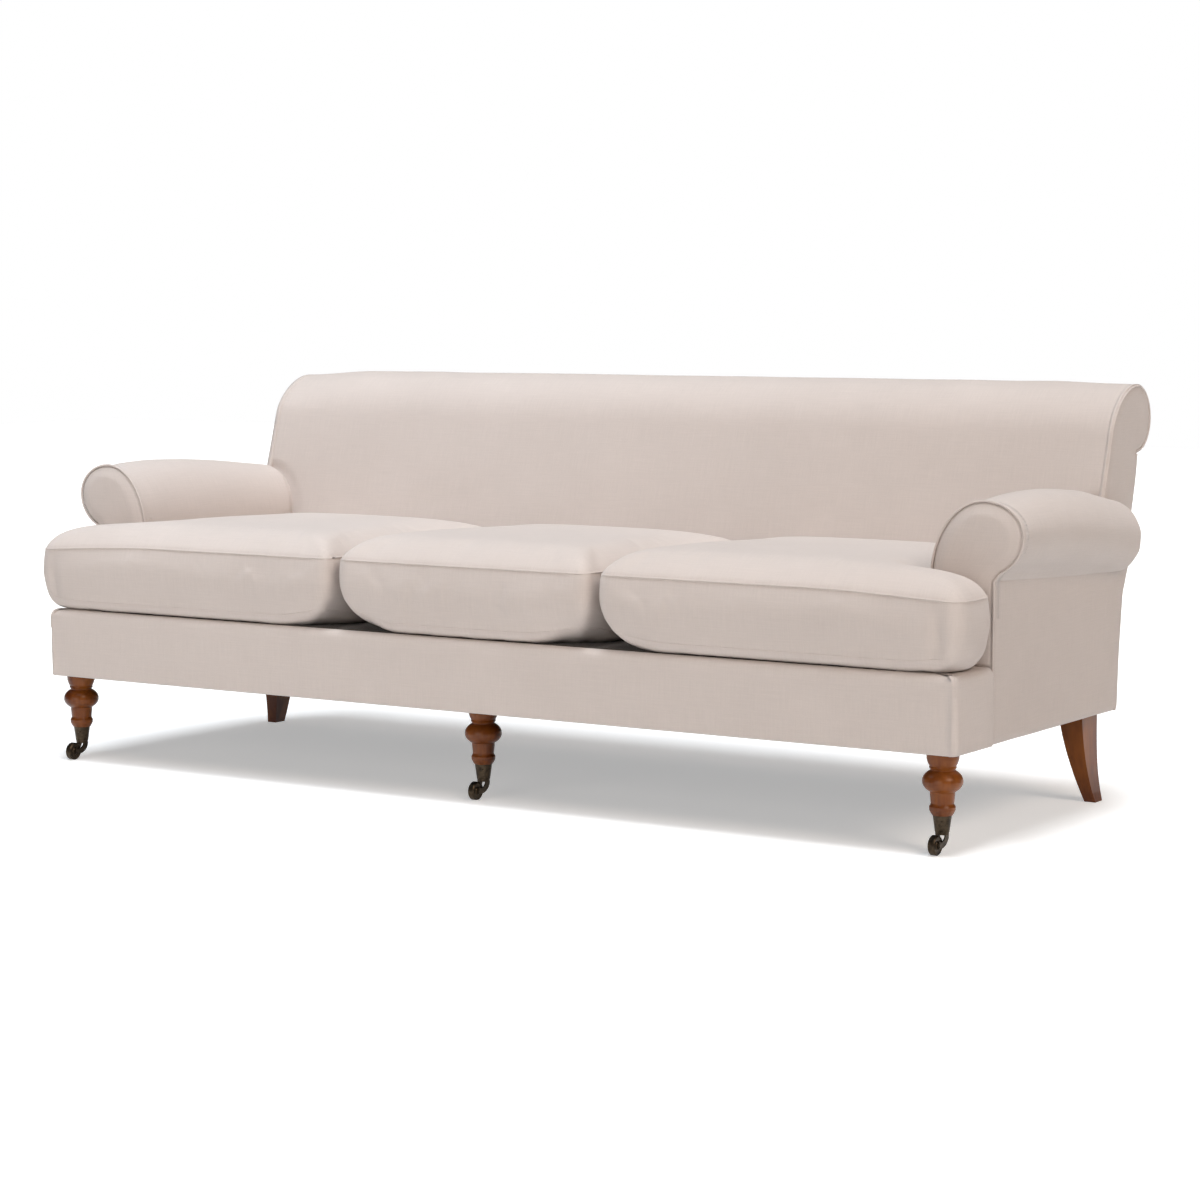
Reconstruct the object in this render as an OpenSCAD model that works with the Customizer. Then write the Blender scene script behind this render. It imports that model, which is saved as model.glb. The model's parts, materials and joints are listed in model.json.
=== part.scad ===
// Three-seat sofa with rolled arms, a tight rolled back and loose seat cushions, two of them T-shaped.
// It stands on three turned legs with casters at the front and two swept legs at the back.
// X runs along the sofa, Y from its front to its back and Z up. Every length is in millimetres.

/* [Overall] */
// Width over the front border
sofa_w = 2180; // [1900:10:2500]
// Height of the top of the back
sofa_h = 831; // [810:1:870]
// Height of the lower edge of the cover above the floor
base_z = 184; // [176:1:200]
// Height of the front border
border_h = 145; // [140:1:160]
// Depth of the base at its lower edge
base_d = 745; // [735:1:790]

/* [Seat cushions] */
// Height of a cushion's side, up to its top seam
cushion_h = 146; // [120:1:165]
// Fall of the outer cushions' seam towards the sofa's ends
ear_fall = 15; // [0:1:30]
// Rise of a cushion's middle over its top seam
cushion_crown = 43; // [30:1:80]
// Distance that the cushions stand out in front of the border
cushion_overhang = 10; // [4:1:50]
// Gap between two neighbouring cushions
cushion_gap = 3; // [2:1:12]
// Setback of the outer cushions' ends from the border's ends
cushion_end_in = -17; // [-20:1:30]

/* [Arms] */
// Distance from the border's front to the front panel of an arm
arm_setback = 163; // [140:1:190]
// Thickness of an arm under its roll
arm_w = 125; // [115:1:160]
// Height of the arm roll's top at its front, as a share of the sofa's
arm_share = 0.76; // [0.74:0.005:0.78]
// Height of an arm's roll over the arm board that carries it
roll_h = 145; // [135:1:155]
// Distance that the roll stands out past the outside panel
roll_out = 56; // [40:1:80]
// Swell of the roll's top along its length
roll_crown = 17; // [0:1:30]
// Fall of the roll's top towards the back
roll_fall = 22; // [0:1:35]
// Fall of the seam under the roll towards the back
roll_seam_fall = 23; // [0:1:30]

/* [Back] */
// Run of the back's face for each millimetre that it rises
back_slope = 0.3; // [0.26:0.01:0.34]
// Thickness of the back where it meets the seat deck
back_t = 114; // [108:1:125]
// Radius of the curve from the back's face to its top
back_front_r = 132; // [115:1:140]
// Radius of the roll behind the top of the back
back_roll_r = 71; // [60:1:72]
// Distance from the border's end to the side panel of the back
back_side_in = 31; // [28:1:45]

/* [Legs and casters] */
// Distance from the border's end to a front leg's centre
leg_in = 47; // [47:1:60]
// Distance from the border's front to a front leg's centre
leg_back = 45; // [45:1:60]
// Distance from the border's front to the middle leg's centre
mid_leg_back = 88; // [66:1:100]
// Radius of the turned ball on a front leg
ball_r = 37.5; // [30:0.5:42]
// Radius of a front leg's top
leg_top_r = 30; // [26:0.5:30.5]
// Height of a caster's cup top above the floor
cup_z = 70; // [67:1:76]
// Radius of a caster's wheel
wheel_r = 18.5; // [16:0.5:19]
// Width of a caster's wheel
wheel_w = 14; // [10:0.5:16]
// Trail of a caster's wheel from its swivel
caster_trail = 28; // [26:1:34]
// Width of a rear leg at its top
rear_leg_w = 50; // [40:1:54]
// Depth of a rear leg at its top
rear_leg_d = 75; // [66:1:80]
// Distance that the front of a rear leg sweeps back
rear_leg_sweep = 42; // [30:1:44]
// Distance that the side of a rear leg splays outwards
rear_leg_splay = 14; // [8:1:16]

/* [Hidden] */

// Fineness of round faces
$fn = 64;
// Overrun of every cut
cut = 5;
// Clearance of a sliding or seated fit
slip = 0.05;
// Clearance between soft parts that can part
soft_gap = 1.5;

// Frame stock
frame_lift = 6;
rail_t = 22;
post_t = 24;
board_t = 19;
block_h = 60;
block_d = 64;
block_w = 67;
centre_block_w = 80;
cross_rail_drop = 22;
rear_rail_in = 27;
slat_low_share = 0.06;
slat_high_share = 0.22;
foam_t = 50;
strap_t = 2;
strap_w = 50;
straps_per_bay = 4;
back_rail_h = 40;
back_rail_t = 22;
back_rail_gap = 18;
mid_rail_share = 0.48;
top_rail_h = 26;
cavity_under_neck = 10;
wire = 4;
wire_swing = 25;
wire_half_wave = 34;
springs_per_seat = 5;
clip_t = 2;
clip_w = 16;
clip_d = 18;
deck_t = 18;

// Covers
cover_t = 14;
panel_t = 8;
side_step = 8;
scroll_t = 6;
lip_d = 60;
border_edge_r = 16;
border_corner_r = 7;
facing_t = 12;
facing_rim = 5;
inside_t = 16;
welt_t = 3.5;
welt_d = 5;
dust_t = 1.5;
dust_leg_gap = 2.5;

// Heights and planes that several pieces share
half_w = sofa_w / 2;
deck_z = base_z + border_h;
seat_d = base_d - back_t;
arm_h = sofa_h * arm_share;
arm_board_z = arm_h - roll_h;
deck_under_z = deck_z - deck_t;
rail_z = deck_under_z - clip_t - wire;
frame_z = base_z + frame_lift;
outer_x = half_w - side_step;
side_rail_x = outer_x - panel_t - rail_t;
inner_x = outer_x - arm_w;
scroll_x = half_w - back_side_in;
back_pad_x = scroll_x - scroll_t;
back_frame_x = min(side_rail_x, back_pad_x);
post_x = side_rail_x - post_t;
cushion_mid_w = 2 * inner_x / 3;
bay_x = cushion_mid_w / 2;
arm_board_top = arm_board_z;
arm_neck_z = arm_board_z - frame_lift;
facing_y = arm_setback;

// Side profile of the back
slope_angle = atan(back_slope);
function back_y(z) = seat_d + back_slope * (z - deck_z);
front_arc_z = sofa_h - back_front_r;
back_top_y = back_y(front_arc_z + back_front_r * sin(slope_angle)) + back_front_r * cos(slope_angle);
rear_arc_z = sofa_h - back_roll_r;
neck_z = sofa_h - 2 * back_roll_r;
neck_y = back_top_y + strap_t * 3;
cavity_z = neck_z - cavity_under_neck;
mid_rail_z = deck_z + (cavity_z - deck_z) * mid_rail_share;
arc_steps = 10;
// The outside of the back, as shares of the rise and the run from the base to the neck
rear_shares = [[0, 0], [0.23, 0.05], [0.46, 0.15], [0.58, 0.36], [0.68, 0.62], [0.76, 0.79], [0.88, 0.91], [1, 1]];
function rear_y(z) = base_d + lookup((z - base_z) / (neck_z - base_z), rear_shares) * (neck_y - base_d);
function rear_zs(low, high) =
    concat([low], [for (s = rear_shares) let (z = base_z + s[0] * (neck_z - base_z)) if (z > low && z < high) z], [high]);
// A line up the outside of the back, moved in by depth
function rear_line(low, high, depth) = [for (z = rear_zs(low, high)) [rear_y(z) - depth, z]];
function reversed(list) = [for (i = [len(list) - 1:-1:0]) list[i]];
function arc(centre, r, from, to, steps) =
    [for (i = [0:steps]) let (a = from + (to - from) * i / steps) centre + r * [cos(a), sin(a)]];
// The face, top and roll of the back, from z = low round to the neck, moved out by grow
function back_outline(low, grow = 0) = concat(
    [[back_y(low) - grow, low]],
    arc([back_top_y, front_arc_z], back_front_r + grow, 180 - slope_angle, 90, arc_steps),
    arc([back_top_y, rear_arc_z], back_roll_r + grow, 90 - 90 / arc_steps, -90, 2 * arc_steps)
);

// Places along the depth, measured from the border's front
depth_front = -cushion_overhang;
depth_rear = back_top_y + back_roll_r + welt_t;
origin_y = (depth_front + depth_rear) / 2;
rear_rail_y = base_d - rear_rail_in - post_t;
post_front_y = back_y(deck_z) + foam_t + strap_t;
arm_end_y = back_y(arm_board_z) + foam_t;

// Moves a piece from the border's front to the frame whose origin is the middle of the footprint
module placed() {
    translate([0, -origin_y, 0]) children();
}

// Mirrors a piece of the right-hand side for the left-hand side
module at_left() {
    mirror([1, 0, 0]) children();
}

module both_sides() {
    children();
    at_left() children();
}

// A box from one corner to the opposite one
module block(low, high) {
    translate(low) cube(high - low);
}

// Extrudes a drawing in the plane of Y and Z along X
module along_x(from, to) {
    translate([from, 0, 0]) rotate([90, 0, 90]) linear_extrude(to - from) children();
}

// Extrudes a drawing in the plane of X and Z along Y
module along_y(from, to) {
    translate([0, to, 0]) rotate([90, 0, 0]) linear_extrude(to - from) children();
}

// A solid skinned over closed rings that all have the same number of points, closed at each end by a fan
module skin(rings, start, end) {
    n = len(rings[0]);
    last = len(rings) - 1;
    tip = n * len(rings);
    polyhedron(
        points = concat([for (ring = rings) each ring], [start, end]),
        faces = concat(
            [for (i = [0:n - 1]) [tip, i, (i + 1) % n]],
            [for (k = [0:last - 1], i = [0:n - 1]) [k * n + i, (k + 1) * n + i, k * n + (i + 1) % n]],
            [for (k = [0:last - 1], i = [0:n - 1])
                [k * n + (i + 1) % n, (k + 1) * n + i, (k + 1) * n + (i + 1) % n]],
            [for (i = [0:n - 1]) [tip + 1, last * n + (i + 1) % n, last * n + i]]
        )
    );
}

// Seat frame
module frame_front_rail() {
    color("burlywood") block([-side_rail_x, cover_t, frame_z], [side_rail_x, cover_t + rail_t, rail_z]);
}

module frame_rear_rail() {
    color("burlywood") block([-post_x, rear_rail_y, frame_z], [post_x, rear_rail_y + rail_t, rail_z]);
}

module frame_side_rail() {
    color("burlywood")
        block([side_rail_x, cover_t, frame_z], [side_rail_x + rail_t, rear_rail_y + rail_t, rail_z]);
}

module frame_cross_rails() {
    color("burlywood") both_sides()
        block([bay_x - post_t / 2, cover_t + rail_t, frame_z],
              [bay_x + post_t / 2, rear_rail_y, rail_z - cross_rail_drop]);
}

// A bolt runs through each block into the leg below it
bolt_r = 4;
bolt_up = 40;
bolt_down = 30;
front_leg_x = half_w - leg_in;
rear_leg_out = 46;
rear_leg_in = 10;
rear_bolt_in = 22;
rear_leg_x = half_w - rear_leg_out - rear_leg_w / 2;
rear_leg_y = base_d - rear_leg_in - rear_leg_d / 2;
rear_bolt_y = rear_rail_y - rear_bolt_in;
front_leg_xs = [-front_leg_x, 0, front_leg_x];
function front_leg_y(x) = x == 0 ? mid_leg_back : leg_back;
leg_spots = concat(
    [for (x = front_leg_xs) [x, front_leg_y(x)]],
    [for (side = [-1, 1]) [side * rear_leg_x, rear_bolt_y]]
);

module bolt_holes(low, high) {
    for (spot = leg_spots)
        translate([spot[0], spot[1], low]) cylinder(h = high - low, r = bolt_r + slip);
}

module corner_blocks() {
    front_y = cover_t + rail_t;
    rear_y = rear_rail_y;
    color("tan") difference() {
        union() {
            both_sides() {
                block([side_rail_x - block_w, front_y, frame_z],
                      [side_rail_x, front_y + block_d, frame_z + block_h]);
                block([side_rail_x - block_w, rear_y - block_d, frame_z], [post_x, rear_y, frame_z + block_h]);
            }
            block([-centre_block_w / 2, front_y, frame_z],
                  [centre_block_w / 2, 2 * mid_leg_back - front_y, frame_z + block_h]);
        }
        bolt_holes(frame_z - cut, frame_z + block_h + cut);
    }
}

module leg_bolts() {
    color("silver")
        for (spot = leg_spots)
            translate([spot[0], spot[1], frame_z - bolt_down]) cylinder(h = bolt_down + bolt_up, r = bolt_r);
}

// Suspension: zigzag wires from the front rail to the rear rail, held by clips
spring_from = cover_t + wire;
spring_to = rear_rail_y + rail_t - wire;
half_waves = floor((spring_to - spring_from) / wire_half_wave);
wave_steps = 3;
spring_xs = [for (seat = [-1:1], i = [0:springs_per_seat - 1])
    seat * cushion_mid_w + cushion_mid_w * ((i + 0.5) / springs_per_seat - 0.5)];

function wire_mid(y) = wire_swing * sin(180 * half_waves * (y - spring_from) / (spring_to - spring_from));
function wire_tilt(y) =
    atan(wire_swing * PI * half_waves / (spring_to - spring_from)
         * cos(180 * half_waves * (y - spring_from) / (spring_to - spring_from)));
function wire_edge(side) = [for (i = [0:half_waves * wave_steps])
    let (y = spring_from + (spring_to - spring_from) * i / (half_waves * wave_steps), a = wire_tilt(y))
    [wire_mid(y) + side * wire / 2 * cos(a), y - side * wire / 2 * sin(a)]];

module seat_springs() {
    outline = concat(wire_edge(1), reversed(wire_edge(-1)));
    color("dimgray")
        for (x = spring_xs)
            translate([x, 0, rail_z]) linear_extrude(wire) polygon(outline);
}

module spring_clips() {
    color("gray")
        for (x = spring_xs, y = [spring_from, spring_to])
            translate([x - clip_w / 2, y - wire, rail_z + wire])
                translate([0, y == spring_from ? 0 : 2 * wire - clip_d, 0]) cube([clip_w, clip_d, clip_t]);
}

// Frame of the back
module post_outline(low) {
    front = [for (z = [max(low, deck_z), cavity_z - top_rail_h]) [back_y(z) + foam_t + strap_t, z]];
    foot = low < deck_z ? [[post_front_y, low]] : [];
    polygon(concat(foot, front, reversed(rear_line(low, cavity_z - top_rail_h, panel_t))));
}

module back_post() {
    color("burlywood") along_x(post_x, back_frame_x) post_outline(frame_z);
}

module back_mid_posts() {
    color("burlywood") both_sides()
        along_x(bay_x - post_t / 2, bay_x + post_t / 2) post_outline(rail_z);
}

module back_top_rail() {
    low = cavity_z - top_rail_h;
    color("burlywood") along_x(-back_frame_x, back_frame_x)
        polygon(concat(
            [for (z = [low, cavity_z]) [back_y(z) + foam_t + strap_t, z]],
            reversed(rear_line(low, cavity_z, panel_t))
        ));
}

module back_rail_section(z) {
    front = [for (h = [z, z + back_rail_h]) [back_y(h) + foam_t + strap_t, h]];
    polygon(concat(front, reversed([for (p = front) p + [back_rail_t, 0]])));
}

// The bays between the posts of the back
bays = [[-post_x, -bay_x - post_t / 2], [-bay_x + post_t / 2, bay_x - post_t / 2], [bay_x + post_t / 2, post_x]];

module back_rails() {
    color("tan")
        for (bay = bays, z = [deck_z + back_rail_gap, mid_rail_z])
            along_x(bay[0], bay[1]) back_rail_section(z);
}

module back_webbing() {
    low = deck_z + back_rail_gap;
    front = [for (z = [low, cavity_z]) [back_y(z) + foam_t, z]];
    strap = concat(front, reversed([for (p = front) p + [strap_t, 0]]));
    color("darkkhaki")
        for (bay = bays, i = [0:straps_per_bay - 1]) {
            low_x = max(bay[0], -inner_x);
            high_x = min(bay[1], inner_x);
            middle = low_x + (high_x - low_x) * (i + 0.5) / straps_per_bay;
            along_x(middle - strap_w / 2, middle + strap_w / 2) polygon(strap);
        }
}

// Arm roll: its section at a share t of the way from the front to the back
roll_top_in = 20;
roll_mid_share = 0.43;
roll_mid_fall = 25;
roll_skew = 0.8;
roll_low_share = 0.51;
seam_drop = 1;
roll_swell = 2;
roll_low_angle = 65;
roll_arc_steps = 8;
roll_steps = 9;
dome_steps = 6;
dome_d = 46;
dome_drop = 38;
roll_dome_in = 2;
roll_x = outer_x - roll_top_in;
roll_reach = roll_top_in + roll_out;
roll_mid_z = arm_h - roll_h * roll_mid_share;

function roll_rise(t) = roll_crown * sin(180 * pow(t, roll_skew)) - roll_fall * t;
function roll_section(t, grow) =
    let (
        rise = roll_rise(t),
        top = arm_h + rise + grow,
        mid = roll_mid_z + rise / 2 - roll_mid_fall * t,
        inner = roll_x - inner_x + grow,
        reach = roll_reach + grow
    )
    concat(
        [for (i = [0:roll_arc_steps]) let (a = 90 * i / roll_arc_steps)
            [roll_x - inner * cos(a), arm_board_z + (top - arm_board_z) * sin(a)]],
        [for (i = [1:roll_arc_steps]) let (a = 90 - 90 * i / roll_arc_steps)
            [roll_x + reach * cos(a), mid + (top - mid) * sin(a)]],
        [for (i = [1:roll_arc_steps / 2]) let (a = -roll_low_angle * i / (roll_arc_steps / 2))
            [roll_x + reach * cos(a), mid + (roll_h * roll_low_share + grow) * sin(a)]],
        [[outer_x + grow, arm_board_z - seam_drop - roll_seam_fall * t]]
    );
// The roll's section, with the lip that laps the outside panel
function roll_ring(t, grow) = concat(roll_section(t, grow), [[outer_x, arm_board_z]]);

arm_front_y = facing_y + facing_t;
arm_post_y = arm_front_y + board_t;
function roll_y(t) = arm_post_y + (arm_end_y - arm_post_y) * t;
dome_centre = [outer_x + roll_dome_in, roll_mid_z - roll_fall - dome_drop];
function ring_at(section, y) = [for (p = section) [p[0], y, p[1]]];
function dome_section(u) = [for (p = roll_ring(1, 0)) dome_centre + (p - dome_centre) * cos(90 * u)];

module arm_roll() {
    color("linen") difference() {
        skin(
            concat(
                [for (i = [0:roll_steps]) let (t = i / roll_steps)
                    ring_at(roll_ring(t, roll_swell * sin(180 * t)), roll_y(t))],
                [for (i = [1:dome_steps]) let (u = i / (dome_steps + 1 / 2))
                    ring_at(dome_section(u), arm_end_y + dome_d * sin(90 * u))]
            ),
            [roll_x, arm_post_y, roll_mid_z],
            [dome_centre[0], arm_end_y + dome_d, dome_centre[1]]
        );
        block([inner_x - cut, arm_end_y, arm_board_z - cut], [scroll_x, depth_rear, sofa_h]);
    }
}

// The front of the arm, down to the deck, moved out by grow
function arm_outline(grow) = concat(
    [[inner_x - grow, deck_z]],
    roll_section(0, grow),
    [[outer_x + grow, arm_neck_z], [outer_x + grow, deck_z]]
);

module arm_facing() {
    color("linen") difference() {
        along_y(facing_y, arm_post_y) polygon(arm_outline(0));
        along_y(arm_front_y, arm_post_y + cut) polygon(arm_outline(-facing_rim));
        block([inner_x + facing_rim, arm_front_y, deck_z - cut], [outer_x - panel_t, arm_post_y + cut, arm_board_z]);
        block([outer_x - panel_t, facing_y - cut, deck_z - cut], [outer_x + cut, arm_post_y + cut, arm_neck_z]);
    }
}

module arm_post() {
    color("tan") difference() {
        union() {
            along_y(arm_front_y, arm_post_y) polygon(arm_outline(-facing_rim));
            block([side_rail_x - post_t * 2, arm_front_y, frame_z], [side_rail_x, arm_post_y, deck_z]);
        }
        block([outer_x - panel_t, arm_front_y - cut, frame_z], [outer_x + cut, arm_post_y + cut, arm_neck_z]);
    }
}

module arm_welt() {
    color("linen") {
        along_y(facing_y, facing_y + welt_d) difference() {
            polygon(arm_outline(welt_t));
            polygon(arm_outline(0));
            translate([0, deck_z - cut]) square([sofa_w, cut]);
        }
        block([outer_x, facing_y, base_z], [outer_x + welt_t, facing_y + welt_d, deck_z]);
    }
}

// A flat piece of the arm from its front post to the sloping frame of the back
module arm_side_outline(low, high, depth) {
    polygon([
        [arm_post_y, low], [back_y(low) + depth, low],
        [back_y(high) + depth, high], [arm_post_y, high]
    ]);
}

module arm_inside() {
    color("linen") along_x(inner_x, inner_x + inside_t)
        arm_side_outline(deck_under_z, arm_board_z, foam_t);
}

module arm_outside() {
    color("linen") along_x(outer_x - panel_t, outer_x)
        polygon(concat(
            [[facing_y, base_z]],
            rear_line(base_z, arm_neck_z, panel_t),
            [[facing_y, arm_neck_z]]
        ));
}

module arm_boards() {
    color("burlywood") both_sides() along_x(inner_x + inside_t, outer_x - panel_t)
        arm_side_outline(arm_board_z - board_t, arm_board_z, foam_t + strap_t);
}

// Height at a share of the way from the deck to the arm board's underside
function side_z(share) = deck_z + (arm_board_z - board_t - deck_z) * share;
module arm_slats() {
    color("burlywood") both_sides() along_x(post_x, side_rail_x)
        arm_side_outline(side_z(slat_low_share), side_z(slat_high_share), foam_t + strap_t);
}

// Front border: a block with rounded edges over the frame, with a lip on the deck
module rounded(low, high, r) {
    for (x = [low[0] + r, high[0] - r]) translate([x, high[1] - r]) circle(r);
    translate([low[0], low[1]]) square([high[0] - low[0], high[1] - low[1] - r]);
    translate([low[0] + r, low[1]]) square([high[0] - low[0] - 2 * r, high[1] - low[1]]);
}

module front_border() {
    color("linen") difference() {
        intersection() {
            along_x(-half_w, half_w)
                rounded([0, base_z], [facing_y + border_edge_r * 2, deck_z], border_edge_r);
            along_y(0, facing_y) rounded([-half_w, base_z], [half_w, deck_z], border_edge_r);
            translate([0, 0, base_z]) linear_extrude(border_h)
                translate([0, facing_y]) mirror([0, 1])
                    rounded([-half_w, 0], [half_w, facing_y], border_corner_r);
        }
        block([-outer_x + panel_t, cover_t, base_z - cut], [outer_x - panel_t, facing_y + cut, deck_under_z]);
        block([-inner_x, lip_d, base_z - cut], [inner_x, facing_y + cut, deck_z + cut]);
    }
}

module seat_deck() {
    color("wheat") block([-inner_x, lip_d, deck_under_z], [inner_x, back_y(deck_under_z), deck_z]);
}

// Cover of the back
module inside_back() {
    color("linen") difference() {
        along_x(-back_pad_x, back_pad_x)
            polygon(concat(
                back_outline(deck_under_z),
                reversed(rear_line(cavity_z, neck_z, panel_t)),
                [for (z = [cavity_z, deck_under_z]) [back_y(z) + foam_t, z]]
            ));
        both_sides() along_y(back_y(deck_under_z) - cut, depth_rear + cut)
            polygon(concat(
                [[inner_x, deck_under_z - cut]],
                roll_section((back_y(arm_board_z) - arm_post_y) / (arm_end_y - arm_post_y), roll_swell / 2),
                [[half_w, deck_under_z - cut]]
            ));
    }
}

// Height of the arm's top where it meets the side panel of the back
arm_meet_z = arm_h + roll_rise(1) + roll_swell;

module back_scroll() {
    color("linen") along_x(back_pad_x, scroll_x)
        polygon(concat(
            [[arm_end_y + strap_t, arm_neck_z], [arm_end_y + strap_t, arm_board_z]],
            [[arm_end_y, arm_board_z], [arm_end_y, arm_meet_z]],
            back_outline(arm_meet_z),
            reversed(rear_line(arm_neck_z, neck_z, panel_t))
        ));
}

module back_welt() {
    color("linen") along_x(scroll_x - welt_t, scroll_x)
        difference() {
            polygon(back_outline(arm_meet_z, welt_t));
            polygon(concat(back_outline(arm_meet_z), [[back_top_y, arm_meet_z - cut]]));
            translate([back_top_y - back_roll_r, arm_meet_z - cut])
                square([2 * back_roll_r, neck_z - arm_meet_z + cut]);
        }
}

module outside_back() {
    high = neck_z - strap_t;
    color("linen") {
        along_x(-scroll_x, scroll_x)
            polygon(concat(rear_line(arm_neck_z, high, 0), reversed(rear_line(arm_neck_z, high, panel_t))));
        along_x(-outer_x, outer_x)
            polygon(concat(rear_line(base_z, arm_neck_z, 0), reversed(rear_line(base_z, arm_neck_z, panel_t))));
    }
}

module dust_cover() {
    reach = rear_y(base_z) - panel_t;
    color("dimgray") difference() {
        block([-outer_x + panel_t, cover_t, frame_z - dust_t], [outer_x - panel_t, reach, frame_z]);
        for (x = front_leg_xs)
            translate([x, front_leg_y(x), frame_z - dust_t - cut])
                cylinder(h = dust_t + 2 * cut, r = leg_top_r + dust_leg_gap);
        // Cut away outside the legs, where the cloth's corners would hang loose
        both_sides() {
            block([front_leg_x, cover_t - cut, frame_z - dust_t - cut], [outer_x, leg_back, frame_z + cut]);
            block([rear_leg_x - rear_leg_w / 2 - dust_leg_gap, rear_leg_y - rear_leg_d / 2 - dust_leg_gap,
                   frame_z - dust_t - cut], [outer_x, base_d, frame_z + cut]);
        }
    }
}

// Front legs: turned, with a ball between two rings, and a tenon in the caster's cup
tenon_z = 46;
tenon_top_r = 15.5;
tenon_low_r = 13;
ball_flat = 25;
ball_share = 0.52;
// Radii as shares of the ball's, and heights as shares of the turned length, below and above the ball
lower_leg_shares = [[0.5, 0], [0.56, 0.03], [0.64, 0.08], [0.645, 0.13], [0.59, 0.16], [0.57, 0.18], [0.6, 0.28], [0.61, 0.3]];
upper_leg_shares = [[0.61, 0.7], [0.67, 0.73], [0.65, 0.75], [0.72, 0.79], [0.79, 0.86]];
ball_steps = 10;

function ball_profile(z, tall) = [for (i = [0:ball_steps])
    let (a = -52 + (52 + 53) * i / ball_steps) [ball_r * cos(a), z + ball_flat * tall * sin(a)]];

module turned_leg() {
    tall = frame_z - cup_z;
    profile = concat(
        [[0, tenon_z], [tenon_low_r, tenon_z], [tenon_top_r, cup_z]],
        [for (s = lower_leg_shares) [ball_r * s[0], cup_z + tall * s[1]]],
        ball_profile(cup_z + tall * ball_share, 1),
        [for (s = upper_leg_shares) [ball_r * s[0], cup_z + tall * s[1]]],
        [[leg_top_r, cup_z + tall * 0.92], [leg_top_r, frame_z], [0, frame_z]]
    );
    color("sienna") difference() {
        rotate_extrude() polygon(profile);
        translate([0, 0, frame_z - bolt_down]) cylinder(h = bolt_down + cut, r = bolt_r + slip);
        translate([0, 0, tenon_z - cut]) cylinder(h = pin_top_z - tenon_z + cut + slip, r = pin_head_r + pin_play);
        screw_hole();
    }
}

module front_leg(x) {
    translate([x, front_leg_y(x), 0]) turned_leg();
}

// Rear legs: square, tapered and swept back, cut from two profiles
rear_leg_steps = 10;
rear_foot_w_share = 0.48;
front_curve = 1.4;
inner_curve = 1.6;
outer_curve = 3.3;

// The line of a leg's edge from the rail down to the floor, which runs sideways by run
function leg_edge(from, run, power) = [for (i = [0:rear_leg_steps]) let (t = i / rear_leg_steps)
    [from + run * pow(t, power), frame_z * (1 - t)]];

module rear_leg() {
    low_x = rear_leg_x - rear_leg_w / 2;
    high_x = rear_leg_x + rear_leg_w / 2;
    low_y = rear_leg_y - rear_leg_d / 2;
    high_y = rear_leg_y + rear_leg_d / 2;
    inner_run = rear_leg_w * (1 - rear_foot_w_share) + rear_leg_splay;
    color("sienna") difference() {
        intersection() {
            along_x(low_x, high_x + rear_leg_splay)
                polygon(concat(leg_edge(low_y, rear_leg_sweep, front_curve), [[high_y, 0], [high_y, frame_z]]));
            along_y(low_y, high_y)
                polygon(concat(
                    leg_edge(low_x, inner_run, inner_curve),
                    reversed(leg_edge(high_x, rear_leg_splay, outer_curve))
                ));
        }
        bolt_holes(frame_z - bolt_down, frame_z + cut);
    }
}

// Casters: a cup on the leg, a fork that swivels on a pin in the cup, and a wheel on an axle
cup_low_z = 39.5;
cup_low_r = 13.4;
cup_top_r = 17.5;
swivel_gap = 0.3;
pin_r = 4;
pin_head_r = 6.5;
pin_head_h = 3;
pin_play = 0.4;
pin_top_z = tenon_z + swivel_gap + pin_head_h + swivel_gap;
boss_r = 12.6;
boss_h = 4.5;
arm_plate_t = 2.6;
wheel_side_gap = 0.5;
axle_r = 3;
axle_head_r = 4.8;
axle_head_t = 1.4;
eye_r = 7;
arm_root_w = 15;
arm_bulge = 9;
arm_steps = 10;
wheel_edge = 2;
hub_r = 7;
hub_dish = 1.5;
fork_top_z = cup_low_z - swivel_gap;
fork_in_x = wheel_w / 2 + wheel_side_gap;
axle_y = -caster_trail;

module caster_cup(x) {
    color("darkslategray") translate([x, front_leg_y(x), 0]) difference() {
        translate([0, 0, cup_low_z]) cylinder(h = cup_z - cup_low_z, r1 = cup_low_r, r2 = cup_top_r);
        translate([0, 0, tenon_z])
            cylinder(h = cup_z - tenon_z, r1 = tenon_low_r + slip, r2 = tenon_top_r + slip);
        translate([0, 0, cup_low_z - cut]) cylinder(h = tenon_z - cup_low_z + 2 * cut, r = pin_r + slip);
        screw_hole();
    }
}

// Middle line of a fork arm, from the swivel's boss round behind and down to the axle
function arm_point(t) =
    let (
        a = [0, fork_top_z - boss_h / 2],
        b = [arm_bulge / 2, fork_top_z - boss_h - arm_bulge],
        c = [axle_y + caster_trail / 2, wheel_r - arm_bulge / 2],
        d = [axle_y, wheel_r]
    )
    pow(1 - t, 3) * a + 3 * t * pow(1 - t, 2) * b + 3 * t * t * (1 - t) * c + pow(t, 3) * d;
function arm_normal(t) =
    let (step = 0.01, d = arm_point(min(t + step, 1)) - arm_point(max(t - step, 0))) [-d[1], d[0]] / norm(d);
function arm_half_w(t) = arm_root_w / 2 + (eye_r * 0.7 - arm_root_w / 2) * t;
function arm_edge(side) = [for (i = [0:arm_steps]) let (t = i / arm_steps)
    arm_point(t) + side * arm_half_w(t) * arm_normal(t)];

module fork_arm_drawing() {
    intersection() {
        polygon(concat(arm_edge(1), reversed(arm_edge(-1))));
        translate([-sofa_w / 2, 0]) square([sofa_w, fork_top_z - slip]);
    }
    translate([axle_y, wheel_r]) circle(eye_r);
}

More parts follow.
